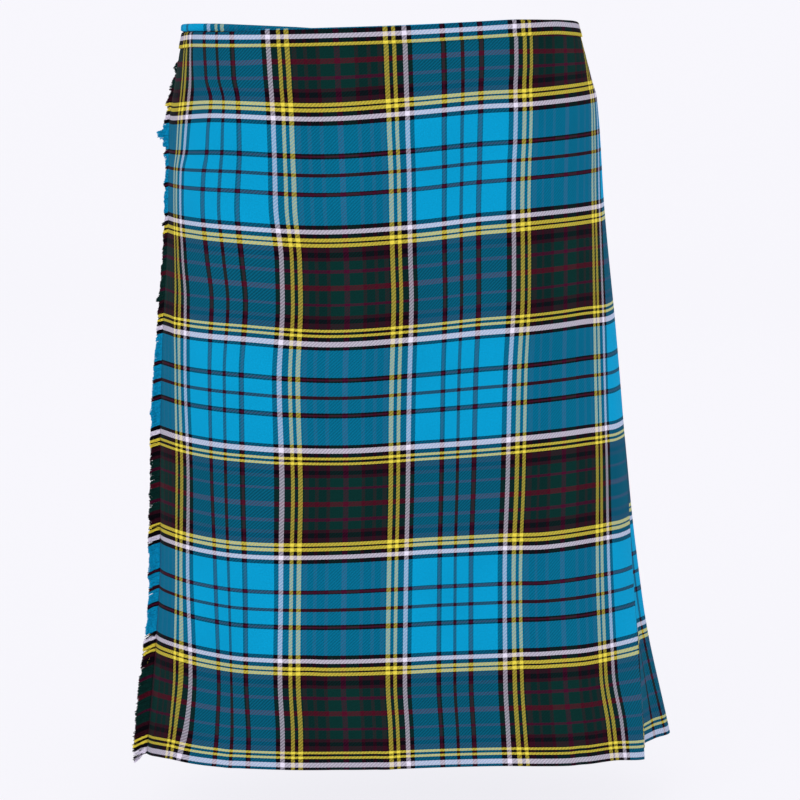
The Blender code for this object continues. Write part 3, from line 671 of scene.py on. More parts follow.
def stripes(tree, position, chart, yarns):
    """The yarn's colour at this share of half a repeat, in hard-edged stripes."""
    ramp = node(tree, "ValToRGB", {"Fac": position})
    ramp.color_ramp.interpolation = "CONSTANT"
    elements = ramp.color_ramp.elements
    elements.remove(elements[1])
    total = sum(width for _, width in chart)
    start = 0.0
    for yarn, width in chart:
        stop = elements.new(start / total) if start else elements[0]
        stop.position = start / total
        stop.color = opaque(getattr(yarns, yarn))
        start += width
    return ramp


def thread_numbers(tree, coordinate, pitch):
    """(the thread's number, how far across it the point is, the thread's middle)."""
    count = node(tree, "Math", (coordinate, pitch), operation="DIVIDE")
    number = node(tree, "Math", (count,), operation="FLOOR")
    across = node(tree, "Math", (count, 0.5), operation="PINGPONG")
    middle = node(tree, "Math", (number, pitch, pitch / 2), operation="MULTIPLY_ADD")
    return number, across, middle


def half_repeat(tree, position, start_mm, half_mm):
    """A position on the cloth as its share of half a repeat, mirrored at both ends."""
    share = node(
        tree, "Math", (position, 1000 / half_mm, -start_mm / half_mm),
        operation="MULTIPLY_ADD",
    )
    return node(tree, "Math", (share, 1), operation="PINGPONG")


def painted_crossing_shade(tree, warp_colour, weft_colour):
    """Painted shade where unlike threads cross: how bright they stay under the shadow that
    dyed ones cast on each other; pale ones, which are high in red, are darkened much less."""
    colours = (warp_colour, weft_colour)
    apart = node(tree, "VectorMath", colours, operation="DISTANCE")
    unlike = node(
        tree, "Math", (apart.outputs["Value"], 1.5), operation="MULTIPLY",
        use_clamp=True,
    )
    reds = [node(tree, "SeparateColor", {"Color": colour}) for colour in colours]
    palest = node(tree, "Math", reds, operation="MAXIMUM")
    strength = node(tree, "MapRange", {"Value": palest, "To Min": 0.36, "To Max": 0.12})
    lost = node(tree, "Math", (unlike, strength), operation="MULTIPLY")
    return node(tree, "Math", (1, lost), operation="SUBTRACT")


def tartan(scene):
    """Worsted kilting wool in 2/2 twill: a matt, dense cloth with fine diagonal lines,
    whose crossing stripes mix thread by thread under painted shade where unlike threads
    cross, and a short nap that catches light."""
    cloth, yarns = scene.kilt_cloth, scene.kilt_yarns
    made, tree, shader = new_material("worsted_wool_tartan_2_2_twill")
    uv = node(tree, "UVMap", uv_map="cloth")
    at_uv = node(tree, "SeparateXYZ", {"Vector": uv}).outputs
    warp, warp_across, warp_middle = thread_numbers(tree, at_uv["X"], cloth.warp_pitch)
    weft, weft_across, weft_middle = thread_numbers(tree, at_uv["Y"], cloth.weft_pitch)
    warp_share = half_repeat(tree, warp_middle, WARP_HALF_MM, WARP_HALF_MM)
    weft_share = half_repeat(tree, weft_middle, BLUE_MIDDLE_V_MM, WEFT_HALF_MM)
    warp_colour = stripes(tree, warp_share, WARP_CHART, yarns)
    weft_colour = stripes(tree, weft_share, WEFT_CHART, yarns)
    # Each thread floats over two and under two, one further on in each row.
    step = node(tree, "Math", (warp, weft), operation="ADD")
    turn = node(tree, "Math", (step, 4), operation="FLOORED_MODULO")
    on_top = node(tree, "Math", (turn, 1.5), operation="LESS_THAN")
    # The weft yarns stand prouder, so they show more than half. A float has the threads
    # beneath it showing at its sides: at this size that is drawn as a part of each.
    share = node(tree, "MapRange", {"Value": on_top, "To Min": 0.26, "To Max": 0.5})
    woven = node(
        tree, "Mix", {"Factor": share, "A": weft_colour, "B": warp_colour},
        data_type="RGBA",
    )
    # Fibres of uneven dye, about 1 mm long, and a slow unevenness over a hand's width.
    fibres = node(
        tree, "TexNoise", {"Vector": uv, "Scale": 900, "Detail": 3, "Roughness": 0.7}
    )
    slow = node(tree, "TexNoise", {"Vector": uv, "Scale": 14, "Detail": 2})
    fibre_shade = node(tree, "MapRange", {
        "Value": fibres, "From Min": 0.25, "From Max": 0.75, "To Min": 0.84, "To Max": 1.14,
    })
    slow_shade = node(tree, "MapRange", {
        "Value": slow, "From Min": 0.3, "From Max": 0.7, "To Min": 0.95, "To Max": 1.04,
    })
    # Painted shade: the colour is darkened where unlike threads cross.
    crossing = painted_crossing_shade(tree, warp_colour, weft_colour)
    shade = node(tree, "Math", (fibre_shade, slow_shade), operation="MULTIPLY")
    shade = node(tree, "Math", (shade, crossing), operation="MULTIPLY")
    shaded = node(
        tree, "VectorMath", {0: woven.outputs[2], "Scale": shade}, operation="SCALE"
    )
    # Each thread stands up in its middle, and the one on top stands higher.
    across = node(tree, "Mix", {"Factor": on_top, "A": weft_across, "B": warp_across})
    height = node(tree, "Math", (across, 1.6, fibres), operation="MULTIPLY_ADD")
    bump = node(tree, "Bump", {"Height": height, "Strength": 0.5, "Distance": cloth.relief})
    feed(tree, shader, {
        "Base Color": shaded, "Normal": bump, "Roughness": 0.9, "Specular IOR Level": 0.03,
        "Sheen Weight": cloth.sheen, "Sheen Roughness": 0.45,
    })
    return made


def frayed_wool(scene):
    """Loose worsted weft yarns: the same matt wool with no crossing threads, so each
    keeps the full colour of its stripe, with a faint twist along it."""
    made, tree, shader = new_material("frayed_worsted_weft_yarn")
    uv = node(tree, "UVMap", uv_map="cloth")
    down = node(tree, "SeparateXYZ", {"Vector": uv}).outputs["Y"]
    share = half_repeat(tree, down, BLUE_MIDDLE_V_MM, WEFT_HALF_MM)
    colour = stripes(tree, share, WEFT_CHART, scene.kilt_yarns)
    place_at = node(tree, "TexCoord").outputs["Object"]
    fibres = node(tree, "TexNoise", {"Vector": place_at, "Scale": 700, "Detail": 2})
    shade = node(tree, "MapRange", {
        "Value": fibres, "From Min": 0.25, "From Max": 0.75, "To Min": 0.7, "To Max": 1.15,
    })
    shaded = node(tree, "VectorMath", {0: colour, "Scale": shade}, operation="SCALE")
    bump = node(tree, "Bump", {"Height": fibres, "Strength": 0.4, "Distance": 0.0002})
    feed(tree, shader, {
        "Base Color": shaded, "Normal": bump, "Roughness": 0.92,
        "Specular IOR Level": 0.06, "Sheen Weight": scene.kilt_cloth.sheen,
    })
    return made


def strap_rows(tree, position):
    """Where the straps' stitches are, and their rubbed edges, as two masks. Both follow
    the height above the straps' middle, which dips and leans with the form."""
    size = section(STRAP_DROP).size
    place_at = node(tree, "SeparateXYZ", {"Vector": position}).outputs
    x = node(tree, "Math", (place_at["X"], 1000, -size["shift"]), operation="MULTIPLY_ADD")
    y = node(
        tree, "Math", (place_at["Y"], 1000, -STRAP_CENTRE_Y_MM),
        operation="MULTIPLY_ADD",
    )
    bow = -size["side_drop"] / size["half_width"] ** 2
    lean = node(tree, "Math", (x, bow, size["slope"]), operation="MULTIPLY_ADD")
    level = node(
        tree, "Math", (lean, x, RISE_MM - LENGTH_MM * STRAP_DROP),
        operation="MULTIPLY_ADD",
    )
    below = node(tree, "Math", (place_at["Z"], -1000, level), operation="MULTIPLY_ADD")
    high = node(tree, "Math", (below,), operation="ABSOLUTE")
    row = node(tree, "Math", (high, STITCH_ROW_MM, STITCH_LINE_MM), operation="COMPARE")
    turn = node(tree, "Math", (y, x), operation="ARCTAN2")
    along = node(tree, "Math", (turn, size["half_width"] / STITCH_MM), operation="MULTIPLY")
    part = node(tree, "Math", (along,), operation="FRACT")
    dash = node(tree, "Math", (part, STITCH_SHARE), operation="LESS_THAN")
    stitches = node(tree, "Math", (row, dash), operation="MULTIPLY")
    edges = node(tree, "Math", (high, STRAP_EDGE_MM), operation="GREATER_THAN")
    return stitches, edges


def bridle_leather(scene):
    """Dyed vegetable-tanned strap leather: close pebbled grain under half a millimetre
    across, waxed to a low gloss, and a little paler where it has been handled. A row of
    waxed linen stitches runs inside each edge, and the cut edges are burnished dark."""
    made, tree, shader = new_material("waxed_bridle_leather")
    dyed, thread = scene.kilt_leather.leather, scene.kilt_leather.thread
    place_at = node(tree, "TexCoord").outputs["Object"]
    stitches, edges = strap_rows(tree, place_at)
    grain = node(
        tree, "TexVoronoi", {"Vector": place_at, "Scale": 2200}, feature="DISTANCE_TO_EDGE"
    )
    wear = node(tree, "TexNoise", {"Vector": place_at, "Scale": 60, "Detail": 4})
    fade = node(tree, "MapRange", {"Value": wear, "From Min": 0.45, "From Max": 0.8})
    colour = node(
        tree, "Mix", {"Factor": fade, "A": opaque(dyed), "B": opaque(dyed, 2.2)},
        data_type="RGBA",
    )
    burnished = node(
        tree, "Mix", {"Factor": edges, "A": colour.outputs[2], "B": opaque(dyed, 0.45)},
        data_type="RGBA",
    )
    sewn = node(
        tree, "Mix", {"Factor": stitches, "A": burnished.outputs[2], "B": opaque(thread)},
        data_type="RGBA",
    )
    rough = node(tree, "MapRange", {"Value": wear, "To Min": 0.36, "To Max": 0.55})
    bump = node(tree, "Bump", {"Height": grain, "Strength": 0.6, "Distance": 0.00015})
    raised = node(tree, "Bump", {
        "Height": stitches, "Normal": bump, "Strength": 0.8, "Distance": 0.0004,
    })
    feed(tree, shader, {
        "Base Color": sewn.outputs[2], "Roughness": rough, "Normal": raised, "IOR": 1.48,
    })
    return made


def plated_steel(scene):
    """Nickel-plated steel wire: a bright, slightly warm metal with fine rubbing marks."""
    made, tree, shader = new_material("nickel_plated_steel")
    place_at = node(tree, "TexCoord").outputs["Object"]
    rub = node(tree, "TexNoise", {"Vector": place_at, "Scale": 420, "Detail": 5})
    rough = node(tree, "MapRange", {"Value": rub, "To Min": 0.16, "To Max": 0.34})
    steel = opaque(scene.kilt_leather.steel)
    feed(tree, shader, {"Base Color": steel, "Roughness": rough, "Metallic": 1})
    return made


def backdrop_paint(scene):
    """Matt white paint on a studio sweep, lit evenly enough to read as bare background."""
    made, tree, shader = new_material("matt_backdrop_paint")
    feed(tree, shader, {
        "Base Color": opaque((0.14, 0.14, 0.14)), "Roughness": 1, "Specular IOR Level": 0,
        "Emission Color": opaque(scene.kilt_stage.backdrop), "Emission Strength": 0.895,
    })
    return made


MATERIALS = {
    "tartan": tartan,
    "fringe": frayed_wool,
    "leather": bridle_leather,
    "steel": plated_steel,
    "backdrop": backdrop_paint,
}


def finish_for(context, kind):
    """The material of this kind, made the first time that a piece asks for it."""
    found = bpy.data.materials.get(context.scene.get("finish_" + kind, ""))
    if found is None:
        found = MATERIALS[kind](context.scene)
        context.scene["finish_" + kind] = found.name
    return found


# ------------------------------------------------------------------ making a piece


def add_object(context, name, bm, kind):
    """Puts a mesh in the scene with its finish."""
    mesh = bpy.data.meshes.new(name)
    bm.to_mesh(mesh)
    bm.free()
    mesh.materials.append(finish_for(context, kind))
    obj = bpy.data.objects.new(name, mesh)
    context.scene.collection.objects.link(obj)
    return obj


def add_piece(context, name, bm, kind, node_name):
    """Puts a mesh in the scene as a piece that rides on the kilt's body."""
    obj = add_object(context, name, bm, kind)
    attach(obj, "root")
    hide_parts(node_name)
    return obj


def grid_steps(across, down):
    """A flat grid, and each vertex's column and row, counted from its top left."""
    bm = bmesh.new()
    bmesh.ops.create_grid(bm, x_segments=across, y_segments=down, size=1.0)
    steps = {
        vert: (round((vert.co.x + 1) / 2 * across), round((1 - vert.co.y) / 2 * down))
        for vert in bm.verts
    }
    return bm, steps


def woven_sheet(plans, v_of, point_at, keep=None):
    """A sheet through plans, one list of (around, out, u, u after) for each row.

    u after is where the cloth goes on from, which differs where a hidden fold of it is
    left out. v_of(i, j) is how far down the cloth a point is, and point_at(i, j) where it
    is in the kilt. keep(i, j) is false for the faces of an opening."""
    bm, steps = grid_steps(len(plans[0]) - 1, len(plans) - 1)
    layer = bm.loops.layers.uv.new("cloth")
    doomed = []
    for face in bm.faces:
        first, top = (min(steps[vert][k] for vert in face.verts) for k in (0, 1))
        if keep and not keep(first, top):
            doomed.append(face)
        for loop in face.loops:
            i, j = steps[loop.vert]
            u = plans[j][i][3] if i == first else plans[j][i][2]
            loop[layer].uv = (u * MM, v_of(i, j) * MM)
        face.smooth = True
    for vert, (i, j) in steps.items():
        vert.co = point_at(i, j)
    if doomed:
        bmesh.ops.delete(bm, geom=doomed, context="FACES")
    bm.normal_update()
    axis = Vector(FORM_AXIS_MM) * MM
    outward = sum(
        face.normal.xy.dot(face.calc_center_median().xy - axis) * face.calc_area()
        for face in bm.faces
    )
    if outward < 0:
        bmesh.ops.reverse_faces(bm, faces=bm.faces)
    return bm


def add_wall(obj, thickness):
    """Gives a sheet its thickness, evenly to both sides."""
    wall = obj.modifiers.new("Wall", "SOLIDIFY")
    wall.thickness = thickness
    wall.offset = 0.0


def turned(around, outer, inner, way):
    """A fold: half a turn from one layer to the next, as (around, out, length gone)."""
    radius = abs(outer - inner) / 2
    middle, half = (outer + inner) / 2, (outer - inner) / 2
    turns = [math.pi * k / TURN_STEPS for k in range(TURN_STEPS + 1)]
    return [
        (
            around + way * radius * (math.sin(turn) - 1),
            middle + half * math.cos(turn),
            radius * turn,
        )
        for turn in turns
    ]


def drop_rows(count):
    return [k / count for k in range(count + 1)]


def straight_steps(start, end, out, count):
    """Stations from start to end of one layer, without the last one."""
    return [(mix(start, end, k / count), out) for k in range(count)]


def unbroken(plan):
    """(around, out, u) stations as a plan of cloth that has nothing left out."""
    return [(around, out, u, u) for around, out, u in plan]


# ------------------------------------------------------------------- cloth panels


def over_apron_plan(drop):
    """Across the front, round the fold edge, and back along the cloth turned under."""
    right, left = selvedge(drop), at("edges", "left_edge", drop)
    turn_from = left - (APRON_OUT_MM - RETURN_OUT_MM) / 2
    plan = []
    for k in range(APRON_COLUMNS + 1):
        around = min(mix(right, left, k / APRON_COLUMNS), turn_from)
        plan.append((around, APRON_OUT_MM, apron_u(around, drop)))
    edge_u = plan[-1][2]
    turn = turned(left, APRON_OUT_MM, RETURN_OUT_MM, 1)[1:]
    plan += [(around, out, edge_u + gone) for around, out, gone in turn]
    start, _, start_u = plan[-1]
    for part in (0.5, 1.0):
        around = mix(start, left - RETURN_MM, part)
        plan.append((around, RETURN_OUT_MM, start_u + start - around))
    return unbroken(plan)


def deep_pleat_plan(drop):
    """A fold behind the over apron's edge: in along one layer, and out along another."""
    left = at("edges", "left_edge", drop)
    start = left - RETURN_MM - SEAM_GAP_MM
    inmost = apron_column(drop, 1 - DEEP_PLEAT_SHARE)
    end = left - DEEP_PLEAT_SEAM_MM
    stations = straight_steps(start, inmost + 1, RETURN_OUT_MM, 10)
    stations += [turn[:2] for turn in turned(inmost, RETURN_OUT_MM, INNER_OUT_MM, -1)]
    stations += straight_steps(inmost + 2, end, INNER_OUT_MM, 9) + [(end, INNER_OUT_MM)]
    u = apron_u(left, drop) + RETURN_MM + DEEP_PLEAT_U_MM
    plan = [(*stations[0], u)]
    for before, now in zip(stations, stations[1:]):
        u += math.dist(before, now)
        plan.append((*now, u))
    return unbroken(plan)


def fold_at(k, drop):
    """Where fold k of the knife pleats lies: it strays a little from its even place."""
    free = smooth((drop - 0.3) / 0.5)
    stray = free * FOLD_STRAY_MM * math.sin(k * 2.4 + drop * 5.0)
    stray += FOLD_UNEVEN_MM * math.sin(k * 1.7)
    return fold_positions(drop)[k] + stray


def sett_share(k):
    """The cloth column at fold k: each pleat shows the next piece of the pattern."""
    folds = fold_positions(PATTERN_TRUE_DROP)
    return (folds[1] - folds[0]) * k


def turned_under(plan, fold, u_fold, drop):
    """The rest of a pleat: round its fold, and back beneath as far as its underlap."""
    face, middle, _ = pleat_layers(drop)
    u_face = u_fold - (face - middle) / 2
    turn = turned(fold, face, middle, 1)
    plan += [(around, out, u_face + gone) for around, out, gone in turn]
    start, _, gone = turn[-1]
    end = fold - at("pleats", "underlap", drop)
    plan += [
        (mix(start, end, part), middle, u_face + gone + (start - end) * part)
        for part in (0.5, 1.0)
    ]
    return plan


def knife_pleat(k, drop):
    """One knife pleat: out from under the fold before it, to its own fold, and back."""
    face, middle, inner = pleat_layers(drop)
    underlap = at("pleats", "underlap", drop)
    before, fold = fold_at(k - 1, drop), fold_at(k, drop)
    sag = face - middle - PLEAT_CLOTH_MM - PLEAT_CLEAR_MM
    u_fold = FLANK_FOLD_U_MM + sett_share(k)
    low = mix(before, fold, PLEAT_LOW_SHARE)
    high = fold - underlap - PLEAT_RISE_MM
    stations = [(before - underlap, inner), (before - underlap / 2, inner)]
    stations += [(before, inner + 0.05), (low, inner + 0.1)]
    if high > low:
        stations += [
            (mix(low, high, part), mix(inner + 0.1, face - sag, mix(part, smooth(part), 0.4)))
            for part in (0.3, 0.6, 1.0)
        ]
    else:
        stations += [
            (mix(low, fold, part), mix(inner, face - sag, part))
            for part in (0.2, 0.35, 0.5)
        ]
    near = mix(stations[-1][0], fold - (face - middle) / 2, 0.5)
    stations.append((near, face - sag * 0.3))
    plan = [(around, out, u_fold + around - fold) for around, out in stations]
    return turned_under(plan, fold, u_fold, drop)


def joined(plans):
    """Pleats' plans end to end: each begins at once after the last, with its own u."""
    whole = unbroken(plans[0])
    for plan in plans[1:]:
        around, out, u, _ = whole[-1]
        next_around, next_out, next_u = plan[0]
        middle = (around + next_around) / 2 - abs(out - next_out) / 2
        whole.append((middle, (out + next_out) / 2, u + 1.0, next_u - 1.0))
        whole += unbroken(plan)
    return whole


def flank_plan(drop):
    """The plain side between the over apron's edge and the first knife pleat."""
    face, middle, _ = pleat_layers(drop)
    left = at("edges", "left_edge", drop)
    clear = left + 2.0
    fold = fold_at(0, drop)
    rise = (fold_positions(drop)[0] - clear) / 4
    marks = [(left - DEEP_PLEAT_SEAM_MM + SEAM_GAP_MM, INNER_OUT_MM)]
    marks += [(left - 5.0, INNER_OUT_MM), (clear, INNER_OUT_MM)]
    for k, name in enumerate(("first", "second", "third")):
        marks.append((clear + rise * (k + 1), at("flank", name, drop)))
    marks.append((fold - (face - middle) / 2, face))
    rows = table(("around", "out"), marks)
    plan = []
    for (start, _), (end, _) in zip(marks, marks[1:]):
        for k in range(FLANK_STEPS):
            around = mix(start, end, k / FLANK_STEPS)
            out = curve_value(rows, "out", around, "around")
            plan.append((around, out, FLANK_FOLD_U_MM + around - fold))
    return turned_under(plan, fold, FLANK_FOLD_U_MM, drop)


def pleats_left_plan(drop):
    pleats = [knife_pleat(k, drop) for k in range(1, PLEATS_LEFT + 1)]
    return joined([flank_plan(drop)] + pleats)


def pleats_right_plan(drop):
    return joined([knife_pleat(k, drop) for k in range(PLEATS_LEFT + 1, PLEATS + 1)])


def under_apron_plan(drop):
    """From beneath the last pleat, where it is that pleat's own next layer."""
    right = at("edges", "right_edge", drop)
    last_fold = right - LAST_FOLD_MM
    start = last_fold - at("pleats", "underlap", drop)
    places = [mix(start, right, k / UNDER_TUCK_COLUMNS) for k in range(UNDER_TUCK_COLUMNS)]
    for k in range(UNDER_COLUMNS + 1):
        places.append(apron_column(drop, UNDER_SHARE * k / UNDER_COLUMNS))
    inner = pleat_layers(drop)[2] - UNDER_BENEATH_MM
    out = at("under", "out", drop)
    u_right = FLANK_FOLD_U_MM + sett_share(PLEATS) + UNDER_U_MM
    return unbroken(
        (around, mix(inner, out, smooth((around - last_fold) / 24)), u_right + around - right)
        for around in places
    )


def under_rise(around):
    return curve_value(UNDER_TOPS, "rise", around, "around")


def under_lean(around, high):
    """How far the under apron's top leans outwards, at this height above the form's."""
    part = (high - UNDER_LEAN_FROM_MM) / (UNDER_LEAN_TO_MM - UNDER_LEAN_FROM_MM)
    return curve_value(UNDER_LEANS, "lean", around, "around") * smooth(part)


def top_value(name, around):
    return curve_value(TOPS, name, around, "around")


def top_rise(around):
    """How far the top edge of the outer cloth stands above the form's, below zero."""
    return -top_value("fall", around) - top_value("trim", around)


def panel(
    plan_at, rows, rise_at=top_rise, keep=None, sag_at=None, ride_at=None, lean_at=None
):
    """A cloth panel whose plan at each drop is plan_at(drop). rise_at lifts its top,
    sag_at lowers its points, ride_at moves its rows, and lean_at moves its top out, each
    by so many mm."""
    plans = [plan_at(drop) for drop in rows]

    def point_at(i, j):
        around, out = plans[j][i][:2]
        drop = rows[j]
        rise = rise_at(plans[0][i][0]) * (1 - smooth((drop - TOP_EVEN) / TOP_FADE))
        if lean_at and drop < LEAN_TO_DROP:
            out += lean_at(around, rise - drop * LENGTH_MM)
        point = lifted(around, drop, out, rise)
        if sag_at:
            point.z -= sag_at(around, drop) * MM
        return point

    def v_of(i, j):
        ride = ride_at(plans[j][i][0], rows[j]) if ride_at else 0.0
        return rows[j] * LENGTH_MM + ride

    return woven_sheet(plans, v_of, point_at, keep)


class KILT_OT_aprons(bpy.types.Operator):
    """Makes the over apron, the fold behind its edge, and the under apron"""

    bl_idname = "kilt.aprons"
    bl_label = "Aprons"

    def execute(self, context):
        sizes = context.scene.kilt_cloth
        cloth = panel(
            over_apron_plan, drop_rows(APRON_ROWS), sag_at=hem_sag,
            ride_at=lambda around, drop: eased("ride", around, drop),
        )
        over = add_piece(context, "over_apron_cloth", cloth, "tartan", "over_apron")
        add_wall(over, sizes.wall)
        cloth = panel(deep_pleat_plan, drop_rows(DEEP_PLEAT_ROWS))
        deep = add_piece(context, "deep_pleat_cloth", cloth, "tartan", "deep_pleat")
        add_wall(deep, sizes.pleat_wall)
        cloth = panel(under_apron_plan, UNDER_ROWS, under_rise, lean_at=under_lean)
        under = add_piece(context, "under_apron_cloth", cloth, "tartan", "under_apron")
        add_wall(under, sizes.wall)
        return {"FINISHED"}


class KILT_OT_pleats(bpy.types.Operator):
    """Makes the flank and the knife pleats, in their two joined lengths"""

    bl_idname = "kilt.pleats"
    bl_label = "Knife pleats"

    def execute(self, context):
        wall = context.scene.kilt_cloth.pleat_wall
        rows = drop_rows(PLEAT_ROWS)
        slot = at("edges", "left_edge", STRAP_DROP) + SLOT_FROM_EDGE_MM
        plan = pleats_left_plan(STRAP_DROP)

        def keep(i, j):
            """False for the faces of the slot that the left strap goes through."""
            across = (plan[i][0] + plan[i + 1][0]) / 2 - slot
            down = ((rows[j] + rows[j + 1]) / 2 - STRAP_DROP) * LENGTH_MM
            return abs(across) >= SLOT_MM / 2 or abs(down) >= SLOT_HEIGHT_MM / 2

        cloth = panel(pleats_left_plan, rows, keep=keep)
        left = add_piece(context, "pleats_left_cloth", cloth, "tartan", "pleats_left")
        add_wall(left, wall)
        cloth = panel(pleats_right_plan, rows)
        right = add_piece(context, "pleats_right_cloth", cloth, "tartan", "pleats_right")
        add_wall(right, wall)
        return {"FINISHED"}


# ---------------------------------------------------------------------- waistband


def band_marks():
    """(around at a drop, inner leg's outer face, outer leg's inner face, rise) along the
    strip, which goes once round and then on over the under apron's edge."""
    wall = CLOTH_MM / 2 + SEAM_GAP_MM
    deep = INNER_OUT_MM - wall - 0.3
    marks = []
    for k in range(BAND_COLUMNS + 1):
        inner = deep if k >= BAND_DEEP_FROM else APRON_OUT_MM - wall
        marks.append((
            lambda drop, k=k: apron_column(drop, k / BAND_COLUMNS), inner, SEAM_GAP_MM, 0
        ))
    for step in BAND_FLANK_MM:
        marks.append((
            lambda drop, s=step: at("edges", "left_edge", drop) + s, deep, SEAM_GAP_MM, 0
        ))
    inner = pleat_layers(0.0)[2] - UNDER_BENEATH_MM - wall
    for k in range(PLEATS + 1):
        easing = 0.4 if k >= PLEATS - 1 else 0.0
        marks.append((
            lambda drop, k=k: fold_positions(drop)[k], inner - easing,
            BAND_OVER_PLEATS_MM, 0,
        ))
    wall += 0.2
    top_right = at("edges", "right_edge", 0.0)
    for start, out, _, _ in under_apron_plan(0.0)[::3]:
        if start > top_right - LAST_FOLD_MM + 4:
            from_right = start - top_right
            marks.append((
                lambda drop, a=from_right: a + right_edge_lap(drop), out - wall, out + wall,
                under_rise(start),
            ))
    return marks


def right_edge_lap(drop):
    """Where the over apron's right edge lies after once round the body."""
    return section(drop).girth + at("edges", "right_edge", drop)


def band_corners(outer, inner, trim):
    """The strip's cross-section: up the outside, over the edge, and down the inside."""
    outer += BAND_CLOTH_MM / 2
    inner -= BAND_CLOTH_MM / 2
    low, high = -BAND_MM, BAND_LIP_MM + BAND_CLOTH_MM / 2 - trim
    bend = min(1.6, (outer - inner) / 2)
    corners = [(outer, mix(low, high - bend, k / 6)) for k in range(7)]
    for middle, start in ((outer - bend, 0), (inner + bend, 3)):
        for k in range(start + 1, start + 4):
            turn = math.pi / 2 * k / 3
            corners.append((
                middle + bend * math.cos(turn), high - bend + bend * math.sin(turn)
            ))
    return corners + [(inner, mix(high - bend, low, k / 4)) for k in range(1, 5)]


def lengths_along(corners):
    """How far each corner of a path is from its start."""
    lengths = [0.0]
    for a, b in zip(corners, corners[1:]):
        lengths.append(lengths[-1] + math.dist(a, b))
    return lengths


def band_u(around, second):
    """The cloth column of the strip's point: in line with the apron on the first lap."""
    if second:
        return around - section(0.0).girth + BAND_UNDER_U_MM
    if around < at("edges", "left_edge", 0.0) + 1:
        return apron_u(around, 0.01)
    return around - COLUMN_AT_TOP_MM


def band_profile(a, b, part):
    """The strip's points part of the way between two marks, their v, and their u."""
    start = mix(a[0](0.0), b[0](0.0), part)
    second = start > right_edge_lap(0.0)
    lift = mix(a[3], b[3], part) if second else -top_value("fall", start)
    trim = 0.0 if second else top_value("trim", start)
    corners = band_corners(mix(a[2], b[2], part), mix(a[1], b[1], part), trim)
    points = []
    for out, high in corners:
        drop = max(-high / LENGTH_MM, 0.0)
        around = mix(a[0](drop), b[0](drop), part)
        if second:
            out += under_lean(around - section(drop).girth, high + lift)
        points.append(lifted(around, drop, out, lift + high + drop * LENGTH_MM))
    down = [BAND_EDGE_V_MM - length for length in lengths_along(corners)]
    return points, down, band_u(start, second)


class KILT_OT_waistband(bpy.types.Operator):
    """Makes the strip of cloth that binds the top edge"""

    bl_idname = "kilt.waistband"
    bl_label = "Waistband"

    def execute(self, context):
        marks = band_marks()
        spans = zip(marks, marks[1:])
        profiles = [band_profile(a, b, part) for a, b in spans for part in (0.0, 0.5)]
        profiles.append(band_profile(marks[-1], marks[-1], 0.0))
        bm, steps = grid_steps(len(profiles) - 1, len(profiles[0][0]) - 1)
        layer = bm.loops.layers.uv.new("cloth")
        for vert, (i, j) in steps.items():
            vert.co = profiles[i][0][j]
        for face in bm.faces:
            face.smooth = True
            for loop in face.loops:
                i, j = steps[loop.vert]
                _, down, u = profiles[i]
                loop[layer].uv = (u * MM, down[j] * MM)
        bm.normal_update()
        face = min(bm.faces, key=lambda f: f.calc_center_median().y)
        if face.normal.y > 0:
            bmesh.ops.reverse_faces(bm, faces=bm.faces)
        band = add_piece(context, "waistband_cloth", bm, "tartan", "waistband")
        add_wall(band, BAND_CLOTH_MM * MM)
        return {"FINISHED"}


# ------------------------------------------------------------------------- fringe


def strand_template():
    """A three-sided strand along Z, from 0 to 1."""
    bm = bmesh.new()
    bmesh.ops.create_circle(bm, segments=3, radius=1.0, cap_ends=False)
    edges = list(bm.edges)
    for _ in range(STRAND_PARTS):
        grown = bmesh.ops.extrude_edge_only(bm, edges=edges)["geom"]
        verts = [part for part in grown if isinstance(part, bmesh.types.BMVert)]
        bmesh.ops.translate(bm, verts=verts, vec=(0, 0, 1 / STRAND_PARTS))
        edges = [part for part in grown if isinstance(part, bmesh.types.BMEdge)]
    ends = [edge for edge in bm.edges if edge.is_boundary]
    bmesh.ops.holes_fill(bm, edges=ends, sides=0)
    bmesh.ops.recalc_face_normals(bm, faces=bm.faces)
    mesh = bpy.data.meshes.new("strand")
    bm.to_mesh(mesh)
    bm.free()
    return mesh


def loose_yarn(drop, clumps, rng):
    """The shape of one loose yarn: it keeps close to those of its own clump."""
    across = drop * CLUMPS
    k = int(across)
    clump = mix(clumps[k], clumps[k + 1], smooth((across - k) * 1.6 - 0.3))
    ragged = mix(0.34, 0.09, smooth((drop - 0.15) / 0.3))
    reach = curve_value(FRAYS, "reach", drop) * (1 + ragged * clump)
    hang = curve_value(FRAYS, "hang", drop) * (1 + 0.8 * ragged * clump)
    for tuft in TUFTS:
        near = 1 - abs(drop - tuft["drop"]) / tuft["half"]
        if near > 0 and rng.random() < 0.75:
            reach += tuft["reach"] * smooth(near * 1.5)
            hang += tuft["hang"] * smooth(near * 1.5)
    ride = eased("ride", selvedge(round(drop, 3)), round(drop, 3))
    # About a third of the yarns lie closer to the pleats behind, and reach further back.
    low = rng.random() < 0.35
    return {
        "drop": drop,
        "v": drop * LENGTH_MM + ride,
        "reach": reach * (rng.uniform(0.35, 0.9) if low else rng.uniform(0.95, 1.01)),
        "hang": hang + rng.uniform(-0.3, 0.3),
        "back": rng.uniform(7.0, 13.0) if low else rng.uniform(3.0, 5.0),
        "lay": rng.uniform(-0.5, 0.3),
        "size": rng.uniform(0.8, 1.15),
    }


def yarn_point(yarn, t):
    """The point at this share of a loose yarn, from its root in the cloth's edge."""
    edge = selvedge(round(yarn["drop"], 3))
    lower = yarn["drop"] + yarn["hang"] * t * (0.5 + 0.5 * t) / LENGTH_MM
    out = APRON_OUT_MM + yarn["lay"] + yarn["reach"] * t * (0.75 + 0.25 * t)
    back = yarn["back"] * t * (1.4 - 0.4 * t)
    point = place(edge + 0.8 - back, round(min(lower, 1.012), 3), out)
    point.z -= hem_sag(edge, yarn["drop"]) * MM
    return point


